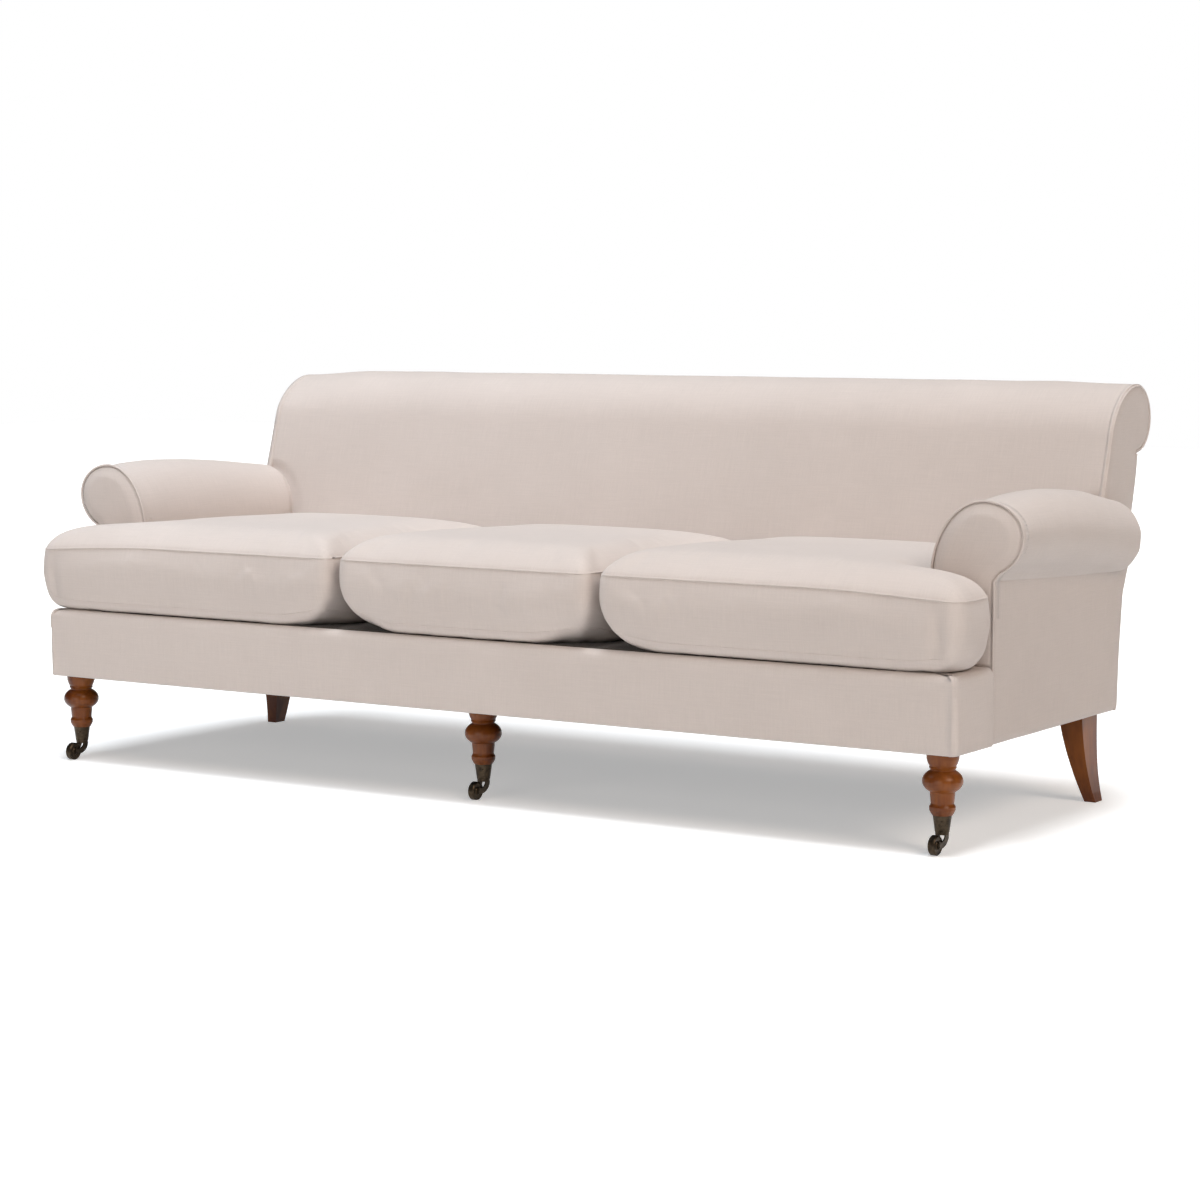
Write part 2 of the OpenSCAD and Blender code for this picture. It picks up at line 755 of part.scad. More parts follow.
module caster_fork(x) {
    boss_under = fork_top_z - boss_h;
    color("darkslategray") translate([x, front_leg_y(x), 0]) difference() {
        union() {
            translate([0, 0, boss_under]) cylinder(h = boss_h, r = boss_r);
            translate([0, 0, boss_under]) cylinder(h = tenon_z - boss_under + cut / 2, r = pin_r);
            translate([0, 0, tenon_z + swivel_gap]) cylinder(h = pin_head_h, r = pin_head_r);
            for (side = [-1, 1])
                along_x(side * (fork_in_x + arm_plate_t / 2) - arm_plate_t / 2,
                        side * (fork_in_x + arm_plate_t / 2) + arm_plate_t / 2) fork_arm_drawing();
        }
        translate([-boss_r, axle_y, wheel_r]) rotate([0, 90, 0]) cylinder(h = 2 * boss_r, r = axle_r + slip);
    }
}

module caster_axle(x) {
    half = fork_in_x + arm_plate_t;
    color("silver") translate([x, front_leg_y(x) + axle_y, wheel_r]) rotate([0, 90, 0]) {
        translate([0, 0, -half]) cylinder(h = 2 * half, r = axle_r);
        translate([0, 0, -half - axle_head_t]) cylinder(h = axle_head_t, r = axle_head_r);
        translate([0, 0, half]) cylinder(h = axle_head_t, r = axle_head_r);
    }
}

module caster_wheel(x) {
    half = wheel_w / 2;
    color("darkslategray") translate([x, front_leg_y(x) + axle_y, wheel_r]) rotate([0, 90, 0]) rotate_extrude()
        polygon([
            [axle_r + slip, -half], [hub_r, -half], [hub_r + hub_dish, hub_dish - half],
            [wheel_r - wheel_edge - hub_dish, hub_dish - half], [wheel_r - wheel_edge, -half],
            [wheel_r, wheel_edge - half], [wheel_r, half - wheel_edge], [wheel_r - wheel_edge, half],
            [wheel_r - wheel_edge - hub_dish, half - hub_dish], [hub_r + hub_dish, half - hub_dish],
            [hub_r, half], [axle_r + slip, half]
        ]);
}

// A screw through the side of each cup, into the tenon
screw_r = 1.6;
screw_head_r = 2.6;
screw_head_t = 1.2;
screw_in = 6;
screw_z = 59;
screw_turn = 25;
screw_seat = 0.8;
screw_face_r = cup_low_r + (cup_top_r - cup_low_r) * (screw_z - cup_low_z) / (cup_z - cup_low_z) - screw_seat;

module screw_hole() {
    rotate([0, 0, screw_turn - 90]) translate([0, 0, screw_z]) rotate([0, 90, 0]) {
        translate([0, 0, screw_face_r - screw_in]) cylinder(h = screw_in + slip, r = screw_r + slip);
        translate([0, 0, screw_face_r]) cylinder(h = cut, r = screw_head_r + slip);
    }
}

module screw_solid() {
    rotate([0, 0, screw_turn - 90]) translate([0, 0, screw_z]) rotate([0, 90, 0]) {
        translate([0, 0, screw_face_r - screw_in]) cylinder(h = screw_in + slip, r = screw_r);
        translate([0, 0, screw_face_r]) cylinder(h = screw_seat, r = screw_head_r);
        translate([0, 0, screw_face_r + screw_seat]) cylinder(h = screw_head_t, r1 = screw_head_r, r2 = screw_r);
    }
}

module caster_screws() {
    color("silver") for (x = front_leg_xs) translate([x, front_leg_y(x), 0]) screw_solid();
}

// Seat cushions: an outline with rounded corners, rings up its side and rings over its crown
cushion_corner = 20;
cushion_back_corner = 30;
cushion_ear_gap = 6;
cushion_step = 95;
corner_steps = 4;
base_share = 0.72;
corner_draw = 24;
corner_lift = 10;
corner_reach = 80;
crown_reach = 135;
crown_power = 3;
seam_share = 0.7;
ear_reach = 300;
ear_power = 1.4;
notch_corner = 6;
side_drawn_in = 14;
bulge_share = 0.3;
cushion_bulge = side_drawn_in * bulge_share;
// Side rings: shares of the side's draw and height, and at a corner also of the corner's draw and lift
side_ring_shares = [
    [1, 0, 1, 0.2], [0.5, 0.04, 0.6, 0.45], [0.2, 0.14, 0.18, 0.9], [0, 0.33, 0, 1],
    [-bulge_share, 0.6, 0, 0.3], [-0.1, 0.85, 0, 0], [0.02, 0.97, 0, 0], [0.1, 1, 0, 0]
];
// Crown rings: each outline's size, as a share of the top seam's
crown_ring_shares = [0.97, 0.92, 0.84, 0.72, 0.56, 0.38, 0.18];

function corner_curve(before, p, after, r) =
    let (
        a = p + (before - p) / norm(before - p) * min(r, norm(before - p) / 2),
        b = p + (after - p) / norm(after - p) * min(r, norm(after - p) / 2)
    )
    [for (i = [0:corner_steps]) let (t = i / corner_steps) (1 - t) * (1 - t) * a + 2 * t * (1 - t) * p + t * t * b];
function rounded_outline(points, radii) = let (n = len(points))
    [for (i = [0:n - 1]) each corner_curve(points[(i + n - 1) % n], points[i], points[(i + 1) % n], radii[i])];
function filled(points, step) = let (n = len(points))
    [for (i = [0:n - 1]) let (a = points[i], b = points[(i + 1) % n], k = ceil(norm(b - a) / step))
        each [for (j = [0:k - 1]) a + (b - a) * j / k]];
function inward(points, i) = let (n = len(points), d = points[(i + 1) % n] - points[(i + n - 1) % n])
    [-d[1], d[0]] / norm(d);
// A smooth measure of how far a point lies inside an outline
function depth_in(points, p, step) =
    let (near = [for (q = points) 1 / pow(norm(p - q), 4)]) pow(PI / (2 * step * sum_of(near)), 1 / 3);
function sum_of(list) = list * [for (v = list) 1];
// The back of a cushion leans as the back's face does
function leaned(p, z, mid, rear) =
    [p[0], p[1] + back_slope * (z - deck_z) * pow(min(max((p[1] - mid) / (rear - mid), 0), 1), 2), z];

// Height of the top seam, which falls towards the sofa's ends
function seam_h(x) =
    cushion_h - ear_fall * pow(min(max((abs(x) - cushion_end_x + ear_reach) / ear_reach, 0), 1), ear_power);

// How near a point is to one of a cushion's corners, where the stuffing doesn't reach the deck
function corner_near(p, corners) = max([for (c = corners) exp(-pow(norm(p - c) / corner_reach, 2))]);
function towards(p, target, distance) = p + (target - p) * min(distance / norm(target - p), 1);

module cushion(points, radii, middle, corners) {
    outline = filled(rounded_outline(points, radii), cushion_step);
    n = len(outline);
    front = min([for (p = outline) p[1]]);
    rear = max([for (p = outline) p[1]]);
    mid = (front + rear) / 2;
    base_ring = [for (p = outline) concat(middle + (p - middle) * base_share, [deck_z])];
    side_rings = [for (s = side_ring_shares)
        [for (i = [0:n - 1]) let (
            p = outline[i],
            near = corner_near(p, corners),
            q = towards(p + side_drawn_in * s[0] * inward(outline, i), middle, corner_draw * s[2] * near)
        ) leaned(q, deck_z + seam_h(p[0]) * s[1] + corner_lift * s[3] * near, mid, rear)]];
    seam = [for (p = side_rings[len(side_rings) - 1]) [p[0], p[1]]];
    crown_rings = [for (s = crown_ring_shares)
        [for (p = seam) let (
            q = middle + (p - middle) * s,
            depth = min(depth_in(seam, q, cushion_step * seam_share) / crown_reach, 1)
        ) [q[0], q[1], deck_z + seam_h(q[0]) + cushion_crown * (1 - pow(1 - depth, crown_power))]]];
    top = concat(middle, [deck_z + cushion_h + cushion_crown]);
    color("linen") skin(concat([base_ring], side_rings, crown_rings), concat(middle, [deck_z]), top);
}

cushion_front_y = -cushion_overhang + cushion_bulge;
cushion_rear_y = seat_d - soft_gap - cushion_bulge;
cushion_end_x = half_w - cushion_end_in - cushion_bulge;

module seat_cushion_centre() {
    x = bay_x - cushion_gap / 2 - cushion_bulge;
    cushion(
        [[-x, cushion_front_y], [x, cushion_front_y], [x, cushion_rear_y], [-x, cushion_rear_y]],
        [cushion_corner, cushion_corner, cushion_back_corner, cushion_back_corner],
        [0, (cushion_front_y + cushion_rear_y) / 2],
        [[-x, cushion_front_y], [x, cushion_front_y], [x, cushion_rear_y], [-x, cushion_rear_y]]
    );
}

module seat_cushion_side() {
    inner = bay_x + cushion_gap / 2 + cushion_bulge;
    outer = inner_x - welt_t - soft_gap - cushion_bulge;
    ear_y = facing_y - cushion_ear_gap - cushion_bulge;
    cushion(
        [
            [inner, cushion_front_y], [cushion_end_x, cushion_front_y], [cushion_end_x, ear_y],
            [outer, ear_y], [outer, cushion_rear_y], [inner, cushion_rear_y]
        ],
        [cushion_corner, cushion_corner, cushion_corner, notch_corner, cushion_back_corner, cushion_back_corner],
        [outer - (outer - inner) / 4, (cushion_front_y + ear_y) / 2 + cushion_corner / 2],
        [
            [inner, cushion_front_y], [cushion_end_x, cushion_front_y], [cushion_end_x, ear_y],
            [outer, cushion_rear_y], [inner, cushion_rear_y]
        ]
    );
}

placed() frame_front_rail();
placed() frame_rear_rail();
placed() at_left() frame_side_rail();  // frame_side_rail_left
placed() frame_side_rail();  // frame_side_rail_right
placed() frame_cross_rails();
placed() corner_blocks();
placed() at_left() arm_post();  // arm_post_left
placed() arm_post();  // arm_post_right
placed() arm_boards();
placed() arm_slats();
placed() at_left() back_post();  // back_post_left
placed() back_post();  // back_post_right
placed() back_mid_posts();
placed() back_top_rail();
placed() back_rails();
placed() seat_springs();
placed() spring_clips();
placed() back_webbing();
placed() front_border();
placed() seat_deck();
placed() at_left() arm_inside();  // arm_inside_left
placed() arm_inside();  // arm_inside_right
placed() at_left() arm_roll();  // arm_roll_left
placed() arm_roll();  // arm_roll_right
placed() at_left() arm_facing();  // arm_facing_left
placed() arm_facing();  // arm_facing_right
placed() at_left() arm_welt();  // arm_welt_left
placed() arm_welt();  // arm_welt_right
placed() at_left() arm_outside();  // arm_outside_left
placed() arm_outside();  // arm_outside_right
placed() inside_back();
placed() at_left() back_scroll();  // back_scroll_left
placed() back_scroll();  // back_scroll_right
placed() at_left() back_welt();  // back_welt_left
placed() back_welt();  // back_welt_right
placed() outside_back();
placed() dust_cover();
placed() front_leg(-front_leg_x);  // front_leg_left
placed() front_leg(0);  // front_leg_centre
placed() front_leg(front_leg_x);  // front_leg_right
placed() at_left() rear_leg();  // rear_leg_left
placed() rear_leg();  // rear_leg_right
placed() leg_bolts();
placed() caster_cup(-front_leg_x);  // caster_cup_left
placed() caster_cup(0);  // caster_cup_centre
placed() caster_cup(front_leg_x);  // caster_cup_right
placed() caster_fork(-front_leg_x);  // caster_fork_left
placed() caster_fork(0);  // caster_fork_centre
placed() caster_fork(front_leg_x);  // caster_fork_right
placed() caster_wheel(-front_leg_x);  // caster_wheel_left
placed() caster_wheel(0);  // caster_wheel_centre
placed() caster_wheel(front_leg_x);  // caster_wheel_right
placed() caster_axle(-front_leg_x);  // caster_axle_left
placed() caster_axle(0);  // caster_axle_centre
placed() caster_axle(front_leg_x);  // caster_axle_right
placed() caster_screws();
placed() at_left() seat_cushion_side();  // seat_cushion_left
placed() seat_cushion_centre();
placed() seat_cushion_side();  // seat_cushion_right
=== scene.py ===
import json
import math

import bpy
import numpy as np
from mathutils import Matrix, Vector
from mathutils.bvhtree import BVHTree


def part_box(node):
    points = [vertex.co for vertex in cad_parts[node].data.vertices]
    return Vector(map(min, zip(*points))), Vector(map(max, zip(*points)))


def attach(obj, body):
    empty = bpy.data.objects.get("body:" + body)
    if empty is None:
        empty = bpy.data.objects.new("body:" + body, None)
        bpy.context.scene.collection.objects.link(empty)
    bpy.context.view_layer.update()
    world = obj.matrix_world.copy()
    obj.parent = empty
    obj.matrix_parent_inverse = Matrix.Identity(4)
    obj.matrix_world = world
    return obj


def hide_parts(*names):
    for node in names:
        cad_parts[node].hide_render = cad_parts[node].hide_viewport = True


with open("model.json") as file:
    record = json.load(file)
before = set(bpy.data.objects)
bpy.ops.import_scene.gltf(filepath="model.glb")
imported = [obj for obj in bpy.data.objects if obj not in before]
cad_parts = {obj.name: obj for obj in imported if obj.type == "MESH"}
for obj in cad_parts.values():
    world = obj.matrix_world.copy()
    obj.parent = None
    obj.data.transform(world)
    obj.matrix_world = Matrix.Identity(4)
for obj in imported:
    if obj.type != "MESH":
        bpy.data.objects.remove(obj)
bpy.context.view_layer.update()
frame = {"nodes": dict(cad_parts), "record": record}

# Planes and sizes of the frame, in metres. Depths are measured from the border's front face.
border_low, border_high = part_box("front_border")
FRONT_Y = border_low.y
BASE_Z = border_low.z
DECK_Z = border_high.z
HALF_W = border_high.x
TOP_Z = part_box("inside_back")[1].z
ARM_LOW, ARM_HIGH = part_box("arm_outside_right")
OUTER_X = ARM_HIGH.x
PANEL_T = ARM_HIGH.x - ARM_LOW.x
INNER_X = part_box("arm_inside_right")[0].x
SCROLL_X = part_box("back_scroll_right")[1].x
BACK_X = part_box("inside_back")[1].x
FACING_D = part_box("arm_facing_right")[0].y - FRONT_Y
DECK_BACK = 0.631
BACK_SLOPE = 0.3
SLOPE = math.atan(BACK_SLOPE)
FRONT_R = 0.132
ROLL_R = 0.071
ARM_H = 0.63156
ROLL_H = 0.145
ARM_BOARD_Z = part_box("arm_boards")[1].z
ARM_END_D = DECK_BACK + BACK_SLOPE * (ARM_BOARD_Z - DECK_Z) + 0.050
ROLL_START_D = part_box("arm_roll_right")[0].y - FRONT_Y
ROLL_X = OUTER_X - 0.020
ROLL_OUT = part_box("arm_roll_right")[1].x - ROLL_X
ROLL_MID_Z = ARM_H - 0.43 * ROLL_H
BASE_DEPTH = 0.745
NECK_Z = TOP_Z - 2 * ROLL_R
BACK_COVER_T, DECK_COVER_T = 0.007, 0.006
SIDES = ((1, "right"), (-1, "left"))
SEAT = np.array((0.0, FRONT_Y, DECK_Z))


def depth(y):
    """The place in the frame of a depth behind the border's front face."""
    return FRONT_Y + y


def row(x, d, z):
    """A row of points in the frame from across, depth and height, where single values are repeated."""
    return np.stack(np.broadcast_arrays(x, depth(np.asarray(d, float)), z), 1)


def set_all(thing, settings):
    for key, value in settings.items():
        setattr(thing, key, value)


def smooth(t):
    t = np.clip(t, 0, 1)
    return t * t * (3 - 2 * t)


# Camera


def placed(name, data, spot, ahead):
    """Puts a camera or a lamp at a spot, looking along a direction."""
    thing = bpy.data.objects.new(name, data)
    bpy.context.scene.collection.objects.link(thing)
    thing.location = spot
    thing.rotation_mode = "QUATERNION"
    thing.rotation_quaternion = ahead.to_track_quat("-Z", "Y")
    return thing


def looking(turn, fall):
    """The direction of something that stands at that turn from the front, and looks down by that fall."""
    return Vector((-math.sin(turn) * math.cos(fall), math.cos(turn) * math.cos(fall), -math.sin(fall)))


def make_camera():
    data = bpy.data.cameras.new("camera")
    data.sensor_width = 36
    data.lens = 88.662
    yaw, pitch = 0.5731, 0.0996
    spot = (3.3847155, depth(-4.7247513), 0.9877287)
    bpy.context.scene.camera = placed("camera", data, spot, looking(yaw, pitch))


# Node helpers


def new_material(name):
    material = bpy.data.materials.new(name)
    material.use_nodes = True
    nodes = material.node_tree.nodes
    nodes.clear()
    out = nodes.new("ShaderNodeOutputMaterial")
    shader = nodes.new("ShaderNodeBsdfPrincipled")
    material.node_tree.links.new(shader.outputs["BSDF"], out.inputs["Surface"])
    return material, shader


def put(material, made, inputs):
    """Links or sets the inputs of a node."""
    for key, value in inputs.items():
        if isinstance(value, bpy.types.NodeSocket):
            material.node_tree.links.new(value, made.inputs[key])
        else:
            made.inputs[key].default_value = value


def node(material, kind, inputs=None, **settings):
    made = material.node_tree.nodes.new(kind)
    set_all(made, settings)
    put(material, made, inputs or {})
    return made


def maths(material, operation, a, b=0.0, c=0.0):
    return node(material, "ShaderNodeMath", {0: a, 1: b, 2: c}, operation=operation).outputs[0]


def noise(material, vector, scale, detail=2.0, rough=0.5):
    inputs = {"Vector": vector, "Scale": scale, "Detail": detail, "Roughness": rough}
    return node(material, "ShaderNodeTexNoise", inputs).outputs["Fac"]


def weighed(material, start, *parts):
    """A start value plus each value times its weight."""
    total = start
    for value, weight in parts:
        total = maths(material, "MULTIPLY_ADD", value, weight, total)
    return total


def wired(material, shader, colour, height, strength, distance, rough):
    """Gives a shader its colour, relief and roughness."""
    bump = node(material, "ShaderNodeBump", {"Height": height, "Strength": strength, "Distance": distance})
    put(material, shader, {"Base Color": colour, "Normal": bump.outputs["Normal"], "Roughness": rough})


def stretched(material, vector, scale):
    return node(material, "ShaderNodeMapping", {"Vector": vector, "Scale": scale}).outputs["Vector"]


def mixed(material, factor, a, b):
    colours = {"Factor": factor, 6: (*a, 1), 7: (*b, 1)}
    return node(material, "ShaderNodeMix", colours, data_type="RGBA").outputs[2]


def ramp(material, factor, stops):
    made = node(material, "ShaderNodeValToRGB", {"Fac": factor})
    elements = made.color_ramp.elements
    while len(elements) < len(stops):
        elements.new(0.5)
    for element, (place, colour) in zip(elements, stops):
        element.position = place
        element.color = (*colour, 1)
    return made.outputs["Color"]


# Materials


def weave(material, vector, thread):
    """Height of a plain weave on the first two coordinates, with uneven threads, from 0 to 1."""
    split = node(material, "ShaderNodeSeparateXYZ", {"Vector": vector})
    wobble = maths(material, "MULTIPLY", noise(material, vector, 260.0, 1.0), 0.55 * thread)
    waves = []
    for k in range(2):
        place = maths(material, "ADD", split.outputs[k], wobble)
        waves.append(maths(material, "SINE", maths(material, "MULTIPLY", place, 2 * math.pi / thread)))
    return maths(material, "MULTIPLY_ADD", maths(material, "MULTIPLY", *waves), 0.5, 0.5)


# Noise to a metre along and across the slubs of each way, and the width of a thread
WARP_SCALE, WEFT_SCALE, THREAD = (430.0, 16.0, 16.0), (13.0, 400.0, 13.0), 0.0013


def fabric(name, colour, planes):
    """Linen with slubs. planes are the coordinates that the threads follow: the cloth's own, or three flat ones."""
    material, shader = new_material(name)
    shade = tuple(0.86 * c for c in colour)
    light = tuple(min(1.0, 1.07 * c) for c in colour)
    object_place = node(material, "ShaderNodeTexCoord").outputs["Object"]
    mottle = noise(material, object_place, 5.0, 3.0, 0.55)
    grain = noise(material, object_place, 420.0, 2.0, 0.6)
    streaks, heights = [], []
    for vector in planes(material, object_place):
        warp = noise(material, stretched(material, vector, WARP_SCALE), 1.0, 3.0, 0.7)
        weft = noise(material, stretched(material, vector, WEFT_SCALE), 1.0, 3.0, 0.7)
        streaks.append(maths(material, "ADD", warp, weft))
        heights.append(weave(material, vector, THREAD))
    streak = blended(material, streaks)
    height = blended(material, heights)
    tone = weighed(material, -0.52, (streak, 0.62), (mottle, 0.40), (height, 0.10), (grain, 0.30))
    clipped = node(material, "ShaderNodeClamp", {"Value": tone}).outputs[0]
    relief = weighed(material, height, (streak, 0.8))
    wired(material, shader, mixed(material, clipped, shade, light), relief, 0.35, 0.0005, 0.92)
    put(material, shader, {"Specular IOR Level": 0.25, "Sheen Weight": 0.12, "Sheen Roughness": 0.45})
    return material


def blended(material, values):
    """One value as it is, or three for the planes that face X, Y and Z, mixed by where the surface faces."""
    if len(values) == 1:
        return values[0]
    facing = node(material, "ShaderNodeNewGeometry").outputs["Normal"]
    powered = node(material, "ShaderNodeVectorMath", {0: facing}, operation="ABSOLUTE").outputs[0]
    split = node(material, "ShaderNodeSeparateXYZ", {"Vector": powered})
    shares = [maths(material, "POWER", split.outputs[k], 6.0) for k in range(3)]
    whole = maths(material, "ADD", maths(material, "ADD", shares[0], shares[1]), shares[2])
    return maths(material, "DIVIDE", weighed(material, 0.0, *zip(values, shares)), whole)


def own_plane(material, place):
    return [node(material, "ShaderNodeUVMap", uv_map="cloth").outputs["UV"]]


def three_planes(material, place):
    split = node(material, "ShaderNodeSeparateXYZ", {"Vector": place})
    x, y, z = (split.outputs[k] for k in range(3))
    pairs = ((y, z), (x, z), (x, y))
    return [node(material, "ShaderNodeCombineXYZ", {"X": a, "Y": b}).outputs[0] for a, b in pairs]


def wood(name, dark, light, gloss, grain_scale):
    material, shader = new_material(name)
    place = node(material, "ShaderNodeTexCoord").outputs["Object"]
    long_grain = stretched(material, place, grain_scale)
    rings = noise(material, long_grain, 14.0, 4.0, 0.62)
    pores = noise(material, long_grain, 120.0, 2.0, 0.6)
    blotch = noise(material, place, 11.0, 2.0, 0.5)
    tone = weighed(material, -0.80, (rings, 1.3), (blotch, 0.7), (pores, 0.3))
    middle = tuple((a + b) / 2 for a, b in zip(dark, light))
    colour = ramp(material, tone, ((0.15, dark), (0.5, middle), (0.9, light)))
    wired(material, shader, colour, pores, 0.12, 0.0004, weighed(material, gloss, (rings, 0.12)))
    put(material, shader, {"Specular IOR Level": 0.18, "Coat Weight": 0.18, "Coat Roughness": 0.14})
    return material


def metal(name, dark, light, gloss):
    material, shader = new_material(name)
    place = node(material, "ShaderNodeTexCoord").outputs["Object"]
    patina = noise(material, place, 130.0, 4.0, 0.6)
    wear = noise(material, place, 38.0, 2.0, 0.5)
    colour = ramp(material, weighed(material, 0.0, (patina, 0.6), (wear, 0.5)), ((0.35, dark), (0.75, light)))
    wired(material, shader, colour, patina, 0.15, 0.0003, weighed(material, gloss, (patina, 0.25)))
    shader.inputs["Metallic"].default_value = 0.9
    return material


LINEN = (0.640, 0.568, 0.530)
cover = fabric("linen_cover", LINEN, own_plane)
stuffed = fabric("linen_cushion", LINEN, three_planes)
# The deck cloth's near-black colour is painted shade: it stands in for the shade in the gaps between and under the
# cushions.
platform_painted_shade = fabric("platform_cloth_painted_shade", (0.070, 0.058, 0.050), own_plane)
leg_wood = wood("honey_wood", (0.100, 0.022, 0.003), (0.340, 0.104, 0.014), 0.30, (1.0, 1.0, 0.14))
raw_wood = wood("frame_wood", (0.42, 0.25, 0.12), (0.68, 0.47, 0.27), 0.55, (0.14, 1.0, 1.0))
bronze = metal("aged_bronze", (0.014, 0.010, 0.007), (0.095, 0.068, 0.042), 0.26)
steel = metal("spring_steel", (0.20, 0.20, 0.21), (0.45, 0.45, 0.46), 0.30)
jute = fabric("jute_webbing", (0.50, 0.38, 0.22), three_planes)
dust_cloth = fabric("dust_cloth", (0.030, 0.030, 0.034), own_plane)

# Meshes


def mesh_piece(name, points, faces, flat=None):
    """A shaded mesh. flat gives the cloth's own coordinates of each point, in metres."""
    mesh = bpy.data.meshes.new(name)
    mesh.from_pydata([tuple(p) for p in points], [], faces)
    if flat is not None:
        layer = mesh.uv_layers.new(name="cloth")
        layer.data.foreach_set("uv", np.array([flat[v] for f in faces for v in f], np.float32).ravel())
    mesh.shade_smooth()
    piece = bpy.data.objects.new(name, mesh)
    bpy.context.scene.collection.objects.link(piece)
    return piece


def grid_faces(rows, columns, start=0, flip=False, wrap=False):
    """Quads over a grid of points, numbered row by row. wrap closes each row on itself."""
    faces = []
    for i in range(rows - 1):
        for j in range(columns if wrap else columns - 1):
            k = (j + 1) % columns
            near, far = start + i * columns, start + (i + 1) * columns
            quad = [near + j, near + k, far + k, far + j]
            faces.append(quad[::-1] if flip else quad)
    return faces


def run_lengths(points):
    steps = np.linalg.norm(np.diff(points, axis=0), axis=1)
    return np.concatenate([[0.0], np.cumsum(steps)])


def slab(name, front, back, flip=False):
    """A closed panel between two grids of points that share one edge count: front is the side that shows."""
    rows, columns = front.shape[:2]
    count = rows * columns
    points = np.concatenate([front.reshape(-1, 3), back.reshape(-1, 3)])
    faces = grid_faces(rows, columns, 0, flip) + grid_faces(rows, columns, count, not flip)
    rim = list(range(columns)) + [i * columns + columns - 1 for i in range(1, rows)]
    rim += [(rows - 1) * columns + j for j in range(columns - 2, -1, -1)]
    rim += [i * columns for i in range(rows - 2, 0, -1)]
    for a, b in zip(rim, rim[1:] + rim[:1]):
        quad = [b, a, a + count, b + count]
        faces.append(quad[::-1] if flip else quad)
    across = run_lengths(front[rows // 2])
    up = run_lengths(front[:, columns // 2])
    flat = [(across[j], up[i]) for i in range(rows) for j in range(columns)]
    return mesh_piece(name, points, faces, flat + flat)


def tube(name, path, radius, outward, closed=False, sides=8):
    """A cord of that radius along a path of points. outward keeps its section from turning."""
    path = np.asarray(path, float)
    n = len(path)
    ahead = np.roll(path, -1, 0) - np.roll(path, 1, 0)
    if not closed:
        ahead[0], ahead[-1] = path[1] - path[0], path[-1] - path[-2]
    ahead /= np.linalg.norm(ahead, axis=1)[:, None]
    side = outward - ahead * np.sum(outward * ahead, 1)[:, None]
    lengths = np.linalg.norm(side, axis=1)
    side = np.where(lengths[:, None] > 1e-6, side / np.maximum(lengths, 1e-6)[:, None], (1.0, 0.0, 0.0))
    other = np.cross(ahead, side)
    turn = np.arange(sides) * 2 * math.pi / sides
    ring = np.cos(turn)[:, None] * side[:, None] + np.sin(turn)[:, None] * other[:, None]
    points = (path[:, None] + radius * ring).reshape(-1, 3)
    faces = grid_faces(n, sides, 0, True, True)
    if closed:
        last = (n - 1) * sides
        faces += [[last + (j + 1) % sides, (j + 1) % sides, j, last + j] for j in range(sides)]
    else:
        faces += [list(range(sides)), [(n - 1) * sides + j for j in range(sides - 1, -1, -1)]]
    along = run_lengths(path)
    flat = [(along[v // sides] + v % sides * radius, v % sides * radius * 0.78) for v in range(n * sides)]
    return mesh_piece(name, points, faces, flat)


def evenly(path, count):
    """A path again, with that many evenly spaced points."""
    path = np.asarray(path, float)
    lengths = run_lengths(path)
    at = np.linspace(0, lengths[-1], count)
    return np.stack([np.interp(at, lengths, path[:, k]) for k in range(path.shape[1])], 1)


def resampled(path, step):
    """A path again, with evenly spaced points about a step apart."""
    return evenly(path, max(2, int(round(run_lengths(np.asarray(path, float))[-1] / step)) + 1))


def arc(x, z, across, up, angles):
    """Points round part of an ellipse with that middle and those radii."""
    return [(x + across * math.cos(a), z + up * math.sin(a)) for a in angles]


def paint(piece, material):
    piece.data.materials.clear()
    piece.data.materials.append(material)


def dress(piece, body, material, slot, *replaced):
    paint(piece, material)
    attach(piece, body)
    if replaced:
        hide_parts(*replaced)
    return piece


def upholster(piece, *replaced):
    return dress(piece, "frame", cover, "cover_fabric", *replaced)


def mirrored(points):
    return points * np.array((-1.0, 1.0, 1.0))


def side_panel(name, front, back, side, *replaced):
    """A covered panel, built for the right-hand side and mirrored for the left."""
    if side < 0:
        front, back = mirrored(front), mirrored(back)
    return upholster(slab(name, front, back, flip=side < 0), *replaced)


BACK_PIPING_R, ARM_PIPING_R, MITRE_R = 0.0023, 0.0024, 0.0013


def cord(name, line, radius, way):
    """A sewn piping along a line. way is the direction that its section keeps."""
    piping = tube(name, line, radius, outward=np.tile(way, (len(line), 1)))
    return upholster(piping, name.replace("piping", "welt"))


# Draw and reach of a cover's hem and corners, and the lap of a side panel's edge
HEM, HEM_REACH, LAP = 0.004, 0.008, 0.004


def hem(z):
    """How far a cover draws in at its lower edge."""
    return HEM * (1 - smooth((z - BASE_Z) / HEM_REACH))


def rounding(gap):
    """How far a cover draws in at an upright corner, by the distance from it."""
    return HEM * (1 - smooth(gap / HEM_REACH)) ** 1.5


# Back


def back_face(z):
    return DECK_BACK + BACK_SLOPE * (z - DECK_Z)


FRONT_ARC_Z = TOP_Z - FRONT_R
BACK_TOP_D = back_face(FRONT_ARC_Z + FRONT_R * math.sin(SLOPE)) + FRONT_R * math.cos(SLOPE)
REAR_ARC_Z = TOP_Z - ROLL_R
NECK_D = BACK_TOP_D + 0.006
REAR_SHARES = ((0, 0), (0.23, 0.05), (0.46, 0.15), (0.58, 0.36), (0.68, 0.62), (0.76, 0.79), (0.88, 0.91), (1, 1))


def rear_depth(z):
    heights, runs = zip(*REAR_SHARES)
    return BASE_DEPTH + np.interp((z - BASE_Z) / (NECK_Z - BASE_Z), heights, runs) * (NECK_D - BASE_DEPTH)


